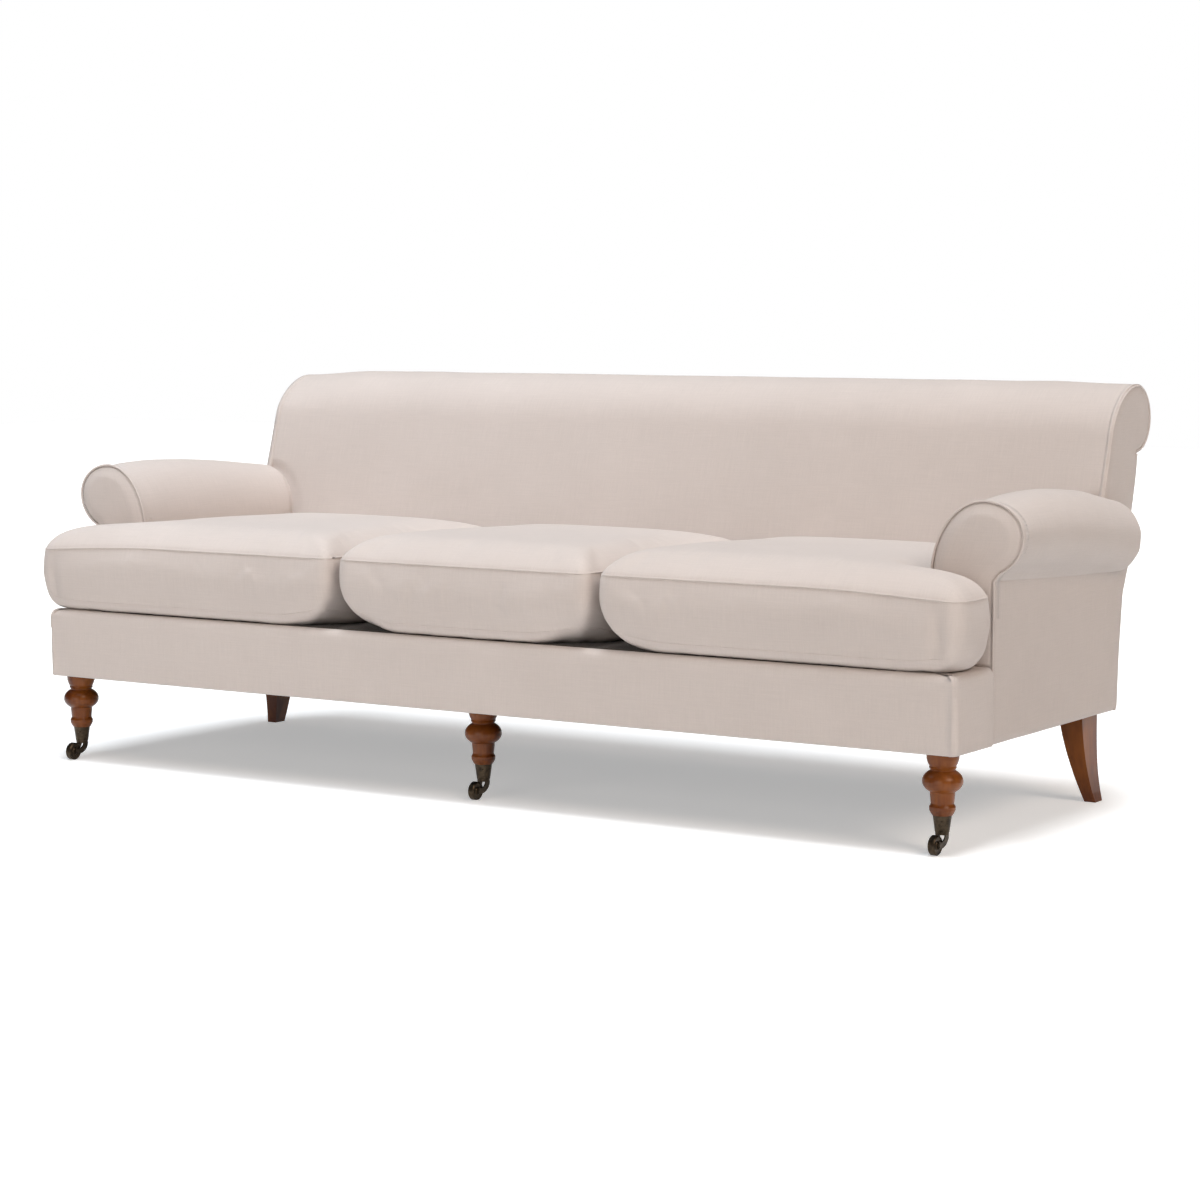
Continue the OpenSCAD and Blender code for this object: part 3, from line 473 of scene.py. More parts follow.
def back_outline(low, grow=0.0, step=0.008):
    """Depth and height round the back's face, top and roll, from a height up to the neck."""
    front = np.radians(np.linspace(180 - math.degrees(SLOPE), 90, 24))
    rear = np.radians(np.linspace(90, -90, 30))[1:]
    face = [(back_face(z) - grow, z) for z in np.linspace(low, FRONT_ARC_Z + FRONT_R * math.sin(SLOPE), 20)[:-1]]
    top = arc(BACK_TOP_D, FRONT_ARC_Z, FRONT_R + grow, FRONT_R + grow, front)
    roll = arc(BACK_TOP_D, REAR_ARC_Z, ROLL_R + grow, ROLL_R + grow, rear)
    return resampled(face + top + roll, step)


VALLEY, VALLEY_REACH = 0.0065, 0.018
END_DROPS = {1: 0.0025, -1: 0.0100}
END_XS = {1: SCROLL_X, -1: SCROLL_X + 0.0060}


def crossings(outline, z):
    """Where an outline crosses a height, on its way up and on its way down."""
    peak = np.argmax(outline[:, 1])
    up, down = outline[: peak + 1], outline[peak:]
    return np.interp(z, up[:, 1], up[:, 0]), np.interp(-z, -down[:, 1], down[:, 0])


def end_drop(z, side):
    """How far the cover at the back's ends draws in round the top, under its piping."""
    return END_DROPS[side] * smooth((z - TOP_Z + 0.10) / 0.09)


def outward_of(outline):
    """Unit normals of an outline of depth and height that runs up the front and over the top."""
    ahead = np.gradient(outline, axis=0)
    normal = np.stack([-ahead[:, 1], ahead[:, 0]], 1)
    return normal / np.linalg.norm(normal, axis=1)[:, None]


def soft_noise(count_u, count_v, cells_u, cells_v, seed):
    """Smooth random heights on a grid, about -1 to 1."""
    source = np.random.default_rng(seed).normal(size=(cells_u + 3, cells_v + 3))

    def lerp(values, at):
        low = np.floor(at).astype(int)
        share = smooth(at - low)
        return values[low] * (1 - share)[:, None] + values[low + 1] * share[:, None]

    rows = lerp(source, np.linspace(0.5, cells_u + 0.5, count_u))
    return lerp(rows.T, np.linspace(0.5, cells_v + 0.5, count_v)).T * 0.6


def make_inside_back():
    low = DECK_Z - 0.015
    outline = back_outline(low)
    normal = outward_of(outline)
    edge = 0.022
    right, left = END_XS[1] - 0.0015, END_XS[-1] - 0.0015
    inner = np.linspace(-left + edge, right - edge, 150)
    curl = np.linspace(0, 1, 9)
    across = np.concatenate([-left + edge * curl[:-1] ** 1.6, inner, (right - edge * curl[:-1] ** 1.6)[::-1]])
    from_end = np.minimum(right - across, left + across)
    drop = 0.0060 * (1 - np.sqrt(np.clip(1 - (1 - from_end / edge) ** 2, 0, 1))) * (from_end < edge)
    lengths = run_lengths(outline)
    share = lengths / lengths[-1]
    full = 0.0010 + 0.0030 * np.sin(np.pi * np.clip(share / 0.55, 0, 1)) ** 0.8
    ripple = soft_noise(len(across), len(outline), 22, 9, 3) * 0.0006
    points = np.zeros((len(outline), len(across), 3))
    on_face = 1 - smooth((lengths - lengths[-1] * 0.55) / 0.02)
    for j, x in enumerate(across):
        arm = arm_section(1.0, 1 if x > 0 else -1)
        beside = rim_distance(abs(x), outline[:, 1], arm)
        push = full * smooth(from_end[j] / 0.25) - drop[j] + ripple[j] * smooth(from_end[j] / 0.08)
        push = push - VALLEY * (1 - smooth(beside / VALLEY_REACH)) * on_face
        push = push - end_drop(outline[:, 1], 1 if x > 0 else -1) * (1 - smooth(from_end[j] / 0.20))
        place = outline + normal * push[:, None]
        points[:, j] = row(x, place[:, 0], place[:, 1])
    deep = outline - normal * 0.03
    core = row(0.0, deep[:, 0], deep[:, 1])
    inside = np.repeat(core[:, None], len(across), 1)
    inside[:, :, 0] = across
    piece = slab("inside_back_cover", points, inside)
    upholster(piece, "inside_back")


def make_back_scrolls():
    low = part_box("back_scroll_right")[0].z
    for side, name in SIDES:
        outline = back_outline(low, step=0.002)
        outline = outline - outward_of(outline) * end_drop(outline[:, 1], side)[:, None]
        end_top = outline[:, 1].max()
        turn = np.sin(np.linspace(0, math.pi / 2, 50))[1:]
        heights = np.concatenate([np.linspace(low, NECK_Z, 40), NECK_Z + (end_top - NECK_Z) * turn])
        share = np.linspace(-1, 1, 26)
        share = np.sign(share) * np.abs(share) ** 0.8
        points = np.zeros((len(heights), len(share), 3))
        for i, z in enumerate(heights):
            front, rear = crossings(outline, z)
            if z <= NECK_Z:
                rear = rear_depth(z) - 0.004
            rear = max(rear, front + 0.0005)
            d = (front + rear) / 2 + (rear - front) / 2 * share
            puff = 0.0035 * smooth(rim_distance(d, z, outline[::3]) / 0.022) - 0.0025
            points[i] = row(END_XS[side] + puff, d, z)
        inner = points.copy()
        inner[:, :, 0] = BACK_X - LAP
        side_panel(f"back_scroll_cover_{name}", points, inner, side, f"back_scroll_{name}")
        path = back_outline(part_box(f"back_welt_{name}")[0].z - 0.02, 0.0, 0.006)
        path = path - outward_of(path) * (0.0044 + end_drop(path[:, 1], side))[:, None]
        line = row(side * (END_XS[side] - 0.0014), path[:, 0], path[:, 1])
        cord(f"back_piping_{name}", line, BACK_PIPING_R, (float(side), 0.0, 0.0))


def make_outside_back():
    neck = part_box("arm_outside_right")[1].z
    step = 0.0015
    lower = np.concatenate([[BASE_Z, BASE_Z + 0.003], np.linspace(BASE_Z + 0.009, neck - step, 30)])
    upper = np.linspace(neck + step, NECK_Z - 0.001, 26)
    heights = np.concatenate([lower, upper])
    share = np.linspace(-1, 1, 120)
    share = np.sign(share) * (1 - (1 - np.abs(share)) ** 1.05)
    points = np.zeros((len(heights), len(share), 3))
    ripple = soft_noise(len(heights), len(share), 6, 20, 5) * 0.0007
    for i, z in enumerate(heights):
        half = OUTER_X if z < neck else np.where(share < 0, END_XS[-1], END_XS[1])
        from_side = half * (1 - np.abs(share))
        corner = rounding(from_side) - 0.0015
        puff = 0.002 * smooth(from_side / 0.15) * math.sin(math.pi * (z - BASE_Z) / (NECK_Z - BASE_Z))
        y = rear_depth(z) - hem(z) - corner + puff + ripple[i] * smooth(from_side / 0.05)
        points[i] = row(half * share, y, z)
    inner = points.copy()
    inner[:, :, 1] -= BACK_COVER_T
    piece = slab("outside_back_cover", points, inner, flip=True)
    upholster(piece, "outside_back")


# Arms


def roll_rise(t, side):
    """Rise of an arm's top along its length. The two arms aren't stuffed quite alike."""
    if side > 0:
        return 0.017 * math.sin(math.pi * t**0.8) - 0.022 * t - 0.006 * smooth((t - 0.7) / 0.3)
    return 0.012 * math.sin(math.pi * t**0.7) - 0.022 * t + 0.003 * (1 - t)


def arm_section(t, side, grow=0.0, count=84):
    """Across and height round an arm, from the deck up its inside, over the roll and under it to the outside panel."""
    rise = roll_rise(t, side)
    top = ARM_H + rise + grow
    mid = ROLL_MID_Z + rise / 2 - 0.025 * t
    inner = ROLL_X - INNER_X + grow
    reach = ROLL_OUT + grow - 0.010 * smooth((t - 0.5) / 0.5)
    wall = [(INNER_X - grow, z) for z in np.linspace(DECK_Z - 0.01, ARM_BOARD_Z, 12)]
    over = np.radians(np.linspace(0, 90, 40))[1:]
    under = np.radians(np.linspace(0, 65, 24))
    first = arc(ROLL_X, ARM_BOARD_Z, -inner, top - ARM_BOARD_Z, over)
    second = arc(ROLL_X, mid, reach, top - mid, over[::-1][1:])
    third = arc(ROLL_X, mid, reach, -(0.51 * ROLL_H + grow), under)
    neck = ARM_BOARD_Z - 0.001 - 0.023 * t
    end = [(OUTER_X + grow, neck)]
    return evenly(wall + first + second + third + end, count)


def rim_distance(a, b, outline):
    """Least distance from an outline of each spot, whose two coordinates are a and b."""
    spots = np.stack(np.broadcast_arrays(a, b), 1)
    return np.linalg.norm(spots[:, None] - outline[None], axis=2).min(1)


DOME_D = 0.046
DOME = np.array((OUTER_X + 0.002, ROLL_MID_Z - 0.060))
ARM_STATIONS = 100
TUCK, TUCK_REACH = 0.0085, 0.024


def arm_rows(side, start, end, count):
    """Sections along an arm from its facing into the back, and on over the pleated rear end."""
    rows = []
    for s in np.linspace(0, 1, ARM_STATIONS):
        d = start + (end - start) * s
        t = max(0.0, (d - ROLL_START_D) / (end - ROLL_START_D))
        pinch = 0.0010 * (1 - smooth((d - start) / 0.008))
        swell = 0.002 * math.sin(math.pi * t)
        section = arm_section(t, side, swell - pinch, count)
        rows.append(row(section[:, 0], d, section[:, 1]))
    last = arm_section(1.0, side, 0.0, count)
    for u in np.linspace(0, 1, 16)[1:-1]:
        way = (last - DOME) * math.cos(math.pi / 2 * u)
        pleat = 0.0012 * np.sin(np.arange(count) * 0.9) * smooth(u * 2) * (1 - smooth((u - 0.85) / 0.15))
        section = DOME + way + way / np.maximum(np.linalg.norm(way, axis=1), 1e-6)[:, None] * pleat[:, None]
        rows.append(row(section[:, 0], end + DOME_D * math.sin(math.pi / 2 * u), section[:, 1]))
    return np.array(rows)


def tucked(grid):
    """The arm's cover drawn in where it meets the back."""
    inwards = np.stack([ROLL_X - grid[:, :, 0], np.minimum(ROLL_MID_Z - 0.03 - grid[:, :, 2], 0)], 2)
    inwards /= np.maximum(np.linalg.norm(inwards, axis=2), 1e-6)[:, :, None]
    before_back = back_face(grid[:, :, 2]) - (grid[:, :, 1] - FRONT_Y)
    inner_side = smooth((ROLL_X + 0.01 - grid[:, :, 0]) / 0.04)
    tuck = TUCK * (1 - smooth(np.abs(before_back + 0.004) / TUCK_REACH)) * inner_side
    grid[:, :, 0] += inwards[:, :, 0] * tuck
    grid[:, :, 2] += inwards[:, :, 1] * tuck
    return grid


def make_arm(side, name):
    count = 90
    start, end = FACING_D + 0.003, ARM_END_D
    grid = arm_rows(side, start, end, count)
    rows = len(grid)
    ripple = soft_noise(rows, count, 12, 8, 11 if side > 0 else 12)[:ARM_STATIONS] * 0.0007
    grid[:ARM_STATIONS, :, 2] += ripple * smooth(np.linspace(0, 8, ARM_STATIONS))[:, None]
    grid = tucked(grid)
    if side < 0:
        grid = mirrored(grid)
    faces = grid_faces(rows, count, 0, side > 0, True)
    tip, last = rows * count, (rows - 1) * count
    ends = [(side * DOME[0], depth(end + DOME_D), DOME[1]), (side * (INNER_X + 0.06), depth(start), ARM_BOARD_Z)]
    points = np.concatenate([grid.reshape(-1, 3), ends])
    for j in range(count):
        k = (j + 1) % count
        face, cap = [last + j, last + k, tip], [j, tip + 1, k]
        faces += [face[::-1], cap[::-1]] if side > 0 else [face, cap]
    round_way = run_lengths(grid[20])
    along = run_lengths(grid[:, 40])
    flat = [(along[i], round_way[j]) for i in range(rows) for j in range(count)]
    flat += [(along[-1] + 0.01, 0.2), (0.0, 0.1)]
    piece = mesh_piece(f"arm_cover_{name}", points, faces, flat)
    upholster(piece, f"arm_roll_{name}", f"arm_inside_{name}")


def facing_outline(side, grow, count):
    """Across and height round the arm's front, from the deck up its inside and down its outside to the deck."""
    section = arm_section(0.0, side, grow, 120)
    section = section[section[:, 1] >= DECK_Z + 0.0005]
    outer = [(OUTER_X + grow, z) for z in np.linspace(ARM_BOARD_Z - 0.006, DECK_Z, 12)]
    return evenly(np.concatenate([[(INNER_X - grow, DECK_Z)], section, outer]), count)


def make_facing(side, name):
    outline = facing_outline(side, 0.0, 400)
    top = outline[:, 1].max()
    heights = DECK_Z + (top - DECK_Z) * (1 - (1 - np.linspace(0, 1, 70)) ** 1.7)
    heights[-1] = top - 0.0003
    share = np.linspace(-1, 1, 30)
    share = np.sign(share) * (1 - (1 - np.abs(share)) ** 1.3)
    points = np.zeros((len(heights), len(share), 3))
    for i, z in enumerate(heights):
        left, right = crossings(outline, z)
        x = (left + right) / 2 + (right - left) / 2 * share
        gap = rim_distance(x, z, outline)
        puff = 0.0060 * smooth((gap - 0.002) / 0.026) - 0.0045 * (1 - smooth((gap - 0.0010) / 0.0045)) + 0.0005
        points[i] = row(x, FACING_D - puff, z)
    inner = points.copy()
    inner[:, :, 1] = depth(ROLL_START_D - LAP)
    side_panel(f"arm_facing_cover_{name}", points, inner, side, f"arm_facing_{name}")
    line = facing_outline(side, 0.0010, 300)
    low = [(OUTER_X + 0.0010, z) for z in np.linspace(DECK_Z, BASE_Z + 0.002, 26)[1:]]
    line = np.concatenate([line, low])
    path = row(side * line[:, 0], FACING_D + 0.0012, line[:, 1])
    cord(f"arm_piping_{name}", resampled(path, 0.006), ARM_PIPING_R, (0.0, -1.0, 0.0))


def make_arm_outside(side, name):
    top = ARM_BOARD_Z + 0.004
    heights = np.concatenate([[BASE_Z, BASE_Z + 0.002, BASE_Z + 0.006], np.linspace(BASE_Z + 0.012, top, 26)])
    share = np.linspace(0, 1, 60)
    points = np.zeros((len(heights), len(share), 3))
    ripple = soft_noise(len(heights), len(share), 5, 8, 21 if side > 0 else 22) * 0.0008
    for i, z in enumerate(heights):
        front, rear = FACING_D + 0.002, rear_depth(z) + 0.0015
        d = front + (rear - front) * share
        welt_dip = 0.0055 * (1 - smooth((d - front - 0.001) / 0.007))
        puff = 0.0018 * np.sin(np.pi * share) * math.sin(math.pi * (z - BASE_Z) / (top - BASE_Z))
        edge = smooth(np.minimum(d - front, rear - d) / 0.04)
        x = OUTER_X - hem(z) - rounding(rear - d) - welt_dip + puff + ripple[i] * edge
        points[i] = row(x, d, z)
    inner = points.copy()
    inner[:, :, 0] -= PANEL_T * 0.8
    side_panel(f"arm_outside_cover_{name}", points, inner, side, f"arm_outside_{name}")


# Border and deck


def make_border():
    """The front border: a face with a rolled top edge that turns each corner, with a lip on the deck."""
    corner_r, edge_r, lip, padding = 0.011, 0.016, 0.060, 0.008
    side_end = FACING_D + 0.002
    turn = np.linspace(0, math.pi / 2, 12)
    left = [(-HALF_W, d) for d in np.linspace(side_end, corner_r, 14)]
    left += [(-HALF_W + corner_r * (1 - math.cos(a)), corner_r * (1 - math.sin(a))) for a in turn[1:]]
    middle = [(x, 0.0) for x in np.linspace(-HALF_W + corner_r, HALF_W - corner_r, 150)[1:-1]]
    right = [(-x, d) for x, d in left[::-1]]
    path = np.array(left + middle + right)
    inner = np.stack([np.clip(path[:, 0], -INNER_X, INNER_X), np.maximum(path[:, 1], lip)], 1)
    curl = 0.0055 * (1 - smooth((side_end - path[:, 1]) / 0.008))
    path[:, 0] -= np.sign(path[:, 0]) * curl
    way = path - inner
    way /= np.linalg.norm(way, axis=1)[:, None]
    along_side = np.where((path[:, 1] > corner_r)[:, None], np.sign(path[:, :1]) * (1.0, 0.0), way)
    straight = np.where((path[:, 1] < 1e-9)[:, None], (0.0, -1.0), along_side)
    bend = np.linspace(0, math.pi / 2, 9)
    height = DECK_Z - BASE_Z
    profile = [(-0.012, 0.0), (-0.004, 0.0), (-0.0008, 0.0012), (0.0, 0.004)]
    profile += [(0.0, h) for h in np.linspace(0.010, height - edge_r, 16)]
    profile += [(-edge_r * (1 - math.cos(a)), height - edge_r * (1 - math.sin(a))) for a in bend[1:]]
    profile += [(-edge_r - (lip - edge_r - 0.001) * s, height) for s in np.linspace(0.1, 1, 7)]
    ripple = soft_noise(len(profile), len(path), 5, 34, 31) * 0.0007
    run = run_lengths(path)
    corners = [run[np.argmin(np.linalg.norm(path - (side * HALF_W, 0.0), axis=1))] for side in (-1, 1)]
    crease = sum(np.exp(-(((run - corner + 0.016 * side) / 0.009) ** 2)) for side, corner in zip((-1, 1), corners))
    points = np.zeros((len(profile), len(path), 3))
    for i, (out, up) in enumerate(profile):
        puff = 0.0012 * math.sin(math.pi * min(up / height, 1)) if out == 0 else 0.0
        puff = puff - (0.0048 * crease * smooth((height - up) / 0.035) * smooth(up / 0.02))[:, None] * (out == 0)
        if -out > edge_r:
            spot = path + (inner - path) * (-out / lip)
        else:
            spot = path + straight * (out + puff + ripple[i][:, None] * (up > 0.005))
        points[i] = row(spot[:, 0], spot[:, 1], BASE_Z + up)
    body = points.copy()
    for i, (out, up) in enumerate(profile):
        spot = path + (inner - path) * min(1.0, (padding - out) / lip)
        body[i] = row(spot[:, 0], spot[:, 1], BASE_Z + min(up, height - padding) + 0.0002)
    piece = slab("front_border_cover", points, body)
    upholster(piece, "front_border")
    for side, name in SIDES:
        inset = np.interp(np.linspace(0, 1, 24), (0, 0.55, 0.75, 1), (0.048, 0.012, 0.004, 0.0035))
        drop = np.interp(np.linspace(0, 1, 24), (0, 0.5, 0.75, 1), (0.0, 0.001, 0.014, 0.040))
        diagonal = row(side * (HALF_W - inset), inset, DECK_Z - drop)
        line, ways = on_surface(piece, diagonal, 0.0003, 0)
        seam = tube(f"border_mitre_{name}", line, MITRE_R, sides=6, outward=ways)
        upholster(seam)


def from_edge(low, high, across, y):
    """How far the points of a row at y are from the nearest edge of a box."""
    return np.minimum(np.minimum(across - low.x, high.x - across), min(y - low.y, high.y - y))


def make_deck():
    """The cloth on the deck, sewn to the border's cover just behind its rolled edge. Its near-black colour is painted
    shade: it stands in for the shade in the gaps between and under the cushions.
    """
    low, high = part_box("seat_deck")
    # The cloth reaches forward over the border's lip, so that the lip behind the rolled edge also takes the painted
    # shade.
    low.y = depth(0.019)
    across = np.linspace(low.x, high.x, 110)
    deep = np.linspace(low.y, high.y, 50)
    ripple = soft_noise(len(deep), len(across), 9, 24, 41)
    points = np.zeros((len(deep), len(across), 3))
    for i, y in enumerate(deep):
        edge = smooth((from_edge(low, high, across, y) - 0.048) / 0.05)
        dip = 0.0007 - 0.0012 * edge + 0.0009 * ripple[i] * edge
        points[i] = np.stack(np.broadcast_arrays(across, y, DECK_Z + dip), 1)
    inner = points.copy()
    inner[:, :, 2] = DECK_Z - DECK_COVER_T
    piece = slab("seat_deck_cover", points, inner)
    dress(piece, "frame", platform_painted_shade, "deck_cloth", "seat_deck")


def make_dust_cover():
    """A sheet stapled under the frame, cut away at the corners round the outer front legs and the rear legs."""
    low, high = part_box("dust_cover")
    leg_low, leg_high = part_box("front_leg_right")
    splay, block_w, block_d, inset, room = 0.014, 0.050, 0.075, 0.010, 0.0025
    leg_x = (leg_low.x + leg_high.x) / 2
    leg_y = depth(0.045)
    block_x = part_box("rear_leg_right")[1].x - splay - block_w - room
    block_y = depth(BASE_DEPTH - inset - block_d - room)
    across = np.unique(np.concatenate([np.linspace(low.x, high.x, 90), (-leg_x, leg_x, -block_x, block_x)]))
    deep = np.unique(np.concatenate([np.linspace(low.y, high.y, 36), (leg_y, block_y)]))
    ripple = soft_noise(len(deep), len(across), 6, 16, 51)
    top = []
    for i, y in enumerate(deep):
        edge = smooth(from_edge(low, high, across, y) / 0.12)
        sag = 0.0012 + 0.003 * edge + 0.0015 * ripple[i] * edge
        top += [(x, y, high.z - drop) for x, drop in zip(across, sag)]
    columns = len(across)
    kept = []
    for i in range(len(deep) - 1):
        for j in range(columns - 1):
            x, y = abs(across[j] + across[j + 1]) / 2, (deep[i] + deep[i + 1]) / 2
            if not (x > leg_x and y < leg_y) and not (x > block_x and y > block_y):
                near, far = i * columns + j, (i + 1) * columns + j
                kept.append((near, near + 1, far + 1, far))
    edges = {(face[k], face[(k + 1) % 4]) for face in kept for k in range(4)}
    used = sorted({v for face in kept for v in face})
    order = {v: n for n, v in enumerate(used)}
    count = len(used)
    thick = 0.0010
    points = [top[v] for v in used]
    points += [(x, y, z + thick) for x, y, z in points]
    faces = [[order[v] for v in face[::-1]] for face in kept] + [[order[v] + count for v in face] for face in kept]
    faces += [[order[a], order[b], order[b] + count, order[a] + count] for a, b in sorted(edges) if (b, a) not in edges]
    piece = mesh_piece("dust_cover_cloth", points, faces, [point[:2] for point in points])
    dress(piece, "frame", dust_cloth, "dust_cloth", "dust_cover")


# Seat cushions

CUSHION_H = 0.146
CUSHION_CROWN = 0.043
CUSHION_BULGE = 0.0042
EAR_FALL, EAR_REACH, EAR_POWER = 0.015, 0.300, 1.4
CORNER_R, EAR_R, BACK_R, NOTCH_R = 0.026, 0.045, 0.030, 0.006
CORNER_DRAW, CORNER_LIFT, CORNER_REACH = 0.024, 0.010, 0.080
GAP_DRAW, GAP_LIFT, GAP_REACH = 0.034, 0.007, 0.090
CROWN_REACH, CROWN_POWER, EAR_CROWN_POWER = 0.135, 4.4, 5.5
BASE_SHARE = 0.72
EAR_CORNERS, EAR_DENT, DENT_AT, DENT_WIDTH = 5, 0.0110, 0.046, 0.012
# Up a cushion's side: draw inwards, height as a share of the seam's, a corner's shares of draw and lift, and the
# same two shares for a front corner beside another cushion
SIDE_RINGS = (
    (0.0140, 0.00, 1.00, 0.20, 1.00, 1.00),
    (0.0070, 0.04, 0.60, 0.45, 0.90, 0.95),
    (0.0028, 0.14, 0.18, 0.90, 0.60, 0.80),
    (0.0000, 0.33, 0.00, 1.00, 0.24, 0.40),
    (-0.0042, 0.60, 0.00, 0.30, 0.08, 0.05),
    (-0.0014, 0.85, 0.00, 0.00, 0.00, 0.00),
    (0.0003, 0.97, 0.00, 0.00, 0.00, 0.00),
    (0.0014, 1.00, 0.00, 0.00, 0.00, 0.00),
)
# How far each cushion's inner and outer sides stand from the frame's, outwards
CUSHION_SHIFTS = {"left": (-0.0045, 0.0210), "centre": (0.0070, -0.0055), "right": (-0.0025, -0.0080)}
cushion_boxes = {name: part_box(f"seat_cushion_{name}") for name in ("left", "centre", "right")}
EAR_END_X = cushion_boxes["right"][1].x - CUSHION_BULGE


def corner_curve(before, p, after, r, steps=9):
    a, b = (p + (q - p) / np.linalg.norm(q - p) * min(r, np.linalg.norm(q - p) / 2) for q in (before, after))
    return [(1 - t) ** 2 * a + 2 * t * (1 - t) * p + t * t * b for t in np.linspace(0, 1, steps)]


def ear_share(x):
    return np.clip((np.abs(x) - EAR_END_X + EAR_REACH) / EAR_REACH, 0, 1) ** EAR_POWER


def seam_height(x):
    return CUSHION_H - EAR_FALL * ear_share(x)


def cushion_plan(name, step=0.006):
    """Across and depth round a right-hand or middle cushion, its corners and the middle of its crown."""
    low, high = cushion_boxes["centre" if name == "centre" else "right"]
    inner, outer = (low.x + CUSHION_BULGE, high.x - CUSHION_BULGE) + np.array(CUSHION_SHIFTS[name])
    front, rear = low.y - FRONT_Y + CUSHION_BULGE, DECK_BACK - 0.0015 - CUSHION_BULGE
    if name == "centre":
        drawn = corners = [(inner, front), (outer, front), (outer, rear), (inner, rear)]
        radii = [CORNER_R, CORNER_R, BACK_R, BACK_R]
        middle = (0.0, (front + rear) / 2)
        beside = corners[:2]
    else:
        shoulder = INNER_X - 0.005 - CUSHION_BULGE
        ear = FACING_D - 0.006 - CUSHION_BULGE
        corners = [(inner, front), (outer, front), (outer, ear), (shoulder, ear), (shoulder, rear), (inner, rear)]
        radii = [CORNER_R, EAR_R, EAR_R, NOTCH_R, BACK_R, BACK_R]
        middle = (shoulder - (shoulder - inner) / 4, (front + ear) / 2 + CORNER_R / 2)
        drawn = [c for c in corners if c != (shoulder, ear)]
        beside = corners[:1]
    corners = [np.array(c) for c in corners]
    path = []
    for i in range(len(corners)):
        path += corner_curve(corners[i - 1], corners[i], corners[(i + 1) % len(corners)], radii[i])
    path.append(path[0])
    return resampled(path, step)[:-1], np.array(drawn), np.array(beside), np.array(middle)


def nearness(plan, corners, reach):
    return np.exp(-((np.linalg.norm(plan[:, None] - corners[None], axis=2) / reach) ** 2)).max(1)


def cushion_ring(plan, drawn, beside, middle, ring):
    """One ring up the side: its points, with the corners drawn in and the back leaning as the back does."""
    draw, height, corner, lift, gap_draw, gap_lift = ring
    ahead = np.roll(plan, -1, 0) - np.roll(plan, 1, 0)
    inward = np.stack([-ahead[:, 1], ahead[:, 0]], 1) / np.linalg.norm(ahead, axis=1)[:, None]
    near, gap = nearness(plan, drawn, CORNER_REACH), nearness(plan, beside, GAP_REACH)
    from_corner = np.linalg.norm(plan - drawn[1], axis=1)
    crease = np.exp(-(((from_corner - DENT_AT) / DENT_WIDTH) ** 2)) * (plan[:, 1] < drawn[0][1] + 0.004)
    dent = EAR_DENT * (len(drawn) == EAR_CORNERS) * crease * math.sin(math.pi * min(1.0, height))
    place = plan + (draw + dent)[:, None] * inward
    way = middle - place
    pull = CORNER_DRAW * corner * near + GAP_DRAW * gap_draw * gap
    place = place + way / np.linalg.norm(way, axis=1)[:, None] * pull[:, None]
    up = seam_height(plan[:, 0]) * height + CORNER_LIFT * lift * near + GAP_LIFT * gap_lift * gap
    half = (plan[:, 1].min() + plan[:, 1].max()) / 2
    lean = BACK_SLOPE * up * np.clip((place[:, 1] - half) / (plan[:, 1].max() - half), 0, 1) ** 2
    return np.stack([place[:, 0], place[:, 1] + lean, up], 1)


def cushion_form(name):
    """The points and faces of a cushion's full form, and its top seam, over the border's front and the deck."""
    plan, drawn, beside, middle = cushion_plan(name)
    count = len(plan)
    base = middle + (plan - middle) * BASE_SHARE
    rings = [np.stack([base[:, 0], base[:, 1], np.zeros(count)], 1)]
    for at in np.linspace(0, len(SIDE_RINGS) - 1, 29):
        ring = [np.interp(at, range(len(SIDE_RINGS)), column) for column in zip(*SIDE_RINGS)]
        rings.append(cushion_ring(plan, drawn, beside, middle, ring))
    seam = rings[-1]
    inside = seam[:, :2]
    spacing = np.linalg.norm(np.roll(inside, -1, 0) - inside, axis=1).mean()
    for share in np.concatenate([np.linspace(0.985, 0.88, 8), np.linspace(0.86, 0.06, 24)]):
        place = middle + (inside - middle) * share
        far = np.linalg.norm(place[:, None] - inside[None], axis=2)
        within = (math.pi / (2 * spacing * (1 / far**4).sum(1))) ** (1 / 3)
        rear = smooth((place[:, 1] - 0.20) / 0.26)
        reach = 1 - np.minimum(within / (CROWN_REACH + 0.085 * rear), 1)
        power = CROWN_POWER + (EAR_CROWN_POWER - CROWN_POWER) * ear_share(place[:, 0]) - 1.65 * rear
        up = seam_height(place[:, 0]) + CUSHION_CROWN * (1 - reach**power)
        rings.append(np.stack([place[:, 0], place[:, 1], up], 1))
    points = np.concatenate(rings + [[(middle[0], middle[1], 0.0), (middle[0], middle[1], CUSHION_H + CUSHION_CROWN)]])
    faces = grid_faces(len(rings), count, 0, False, True)
    foot, top, last = len(points) - 2, len(points) - 1, (len(rings) - 1) * count
    for j in range(count):
        k = (j + 1) % count
        faces += [[k, j, foot], [last + j, last + k, top]]
    if name == "left":
        points, seam, faces = mirrored(points), mirrored(seam), [face[::-1] for face in faces]
    return points + SEAT, faces, seam + SEAT


def apply_modifiers(piece):
    graph = bpy.context.evaluated_depsgraph_get()
    mesh = bpy.data.meshes.new_from_object(piece.evaluated_get(graph))
    old = piece.data
    piece.modifiers.clear()
    piece.data = mesh
    bpy.data.meshes.remove(old)


def modified(piece, kind, **settings):
    set_all(piece.modifiers.new(kind.lower(), kind), settings)
    apply_modifiers(piece)


def coordinates(mesh):
    flat = np.zeros(len(mesh.vertices) * 3)
    mesh.vertices.foreach_get("co", flat)
    return flat.reshape(-1, 3)


def set_coordinates(mesh, points):
    mesh.vertices.foreach_set("co", np.ascontiguousarray(points, float).ravel())
    mesh.update()


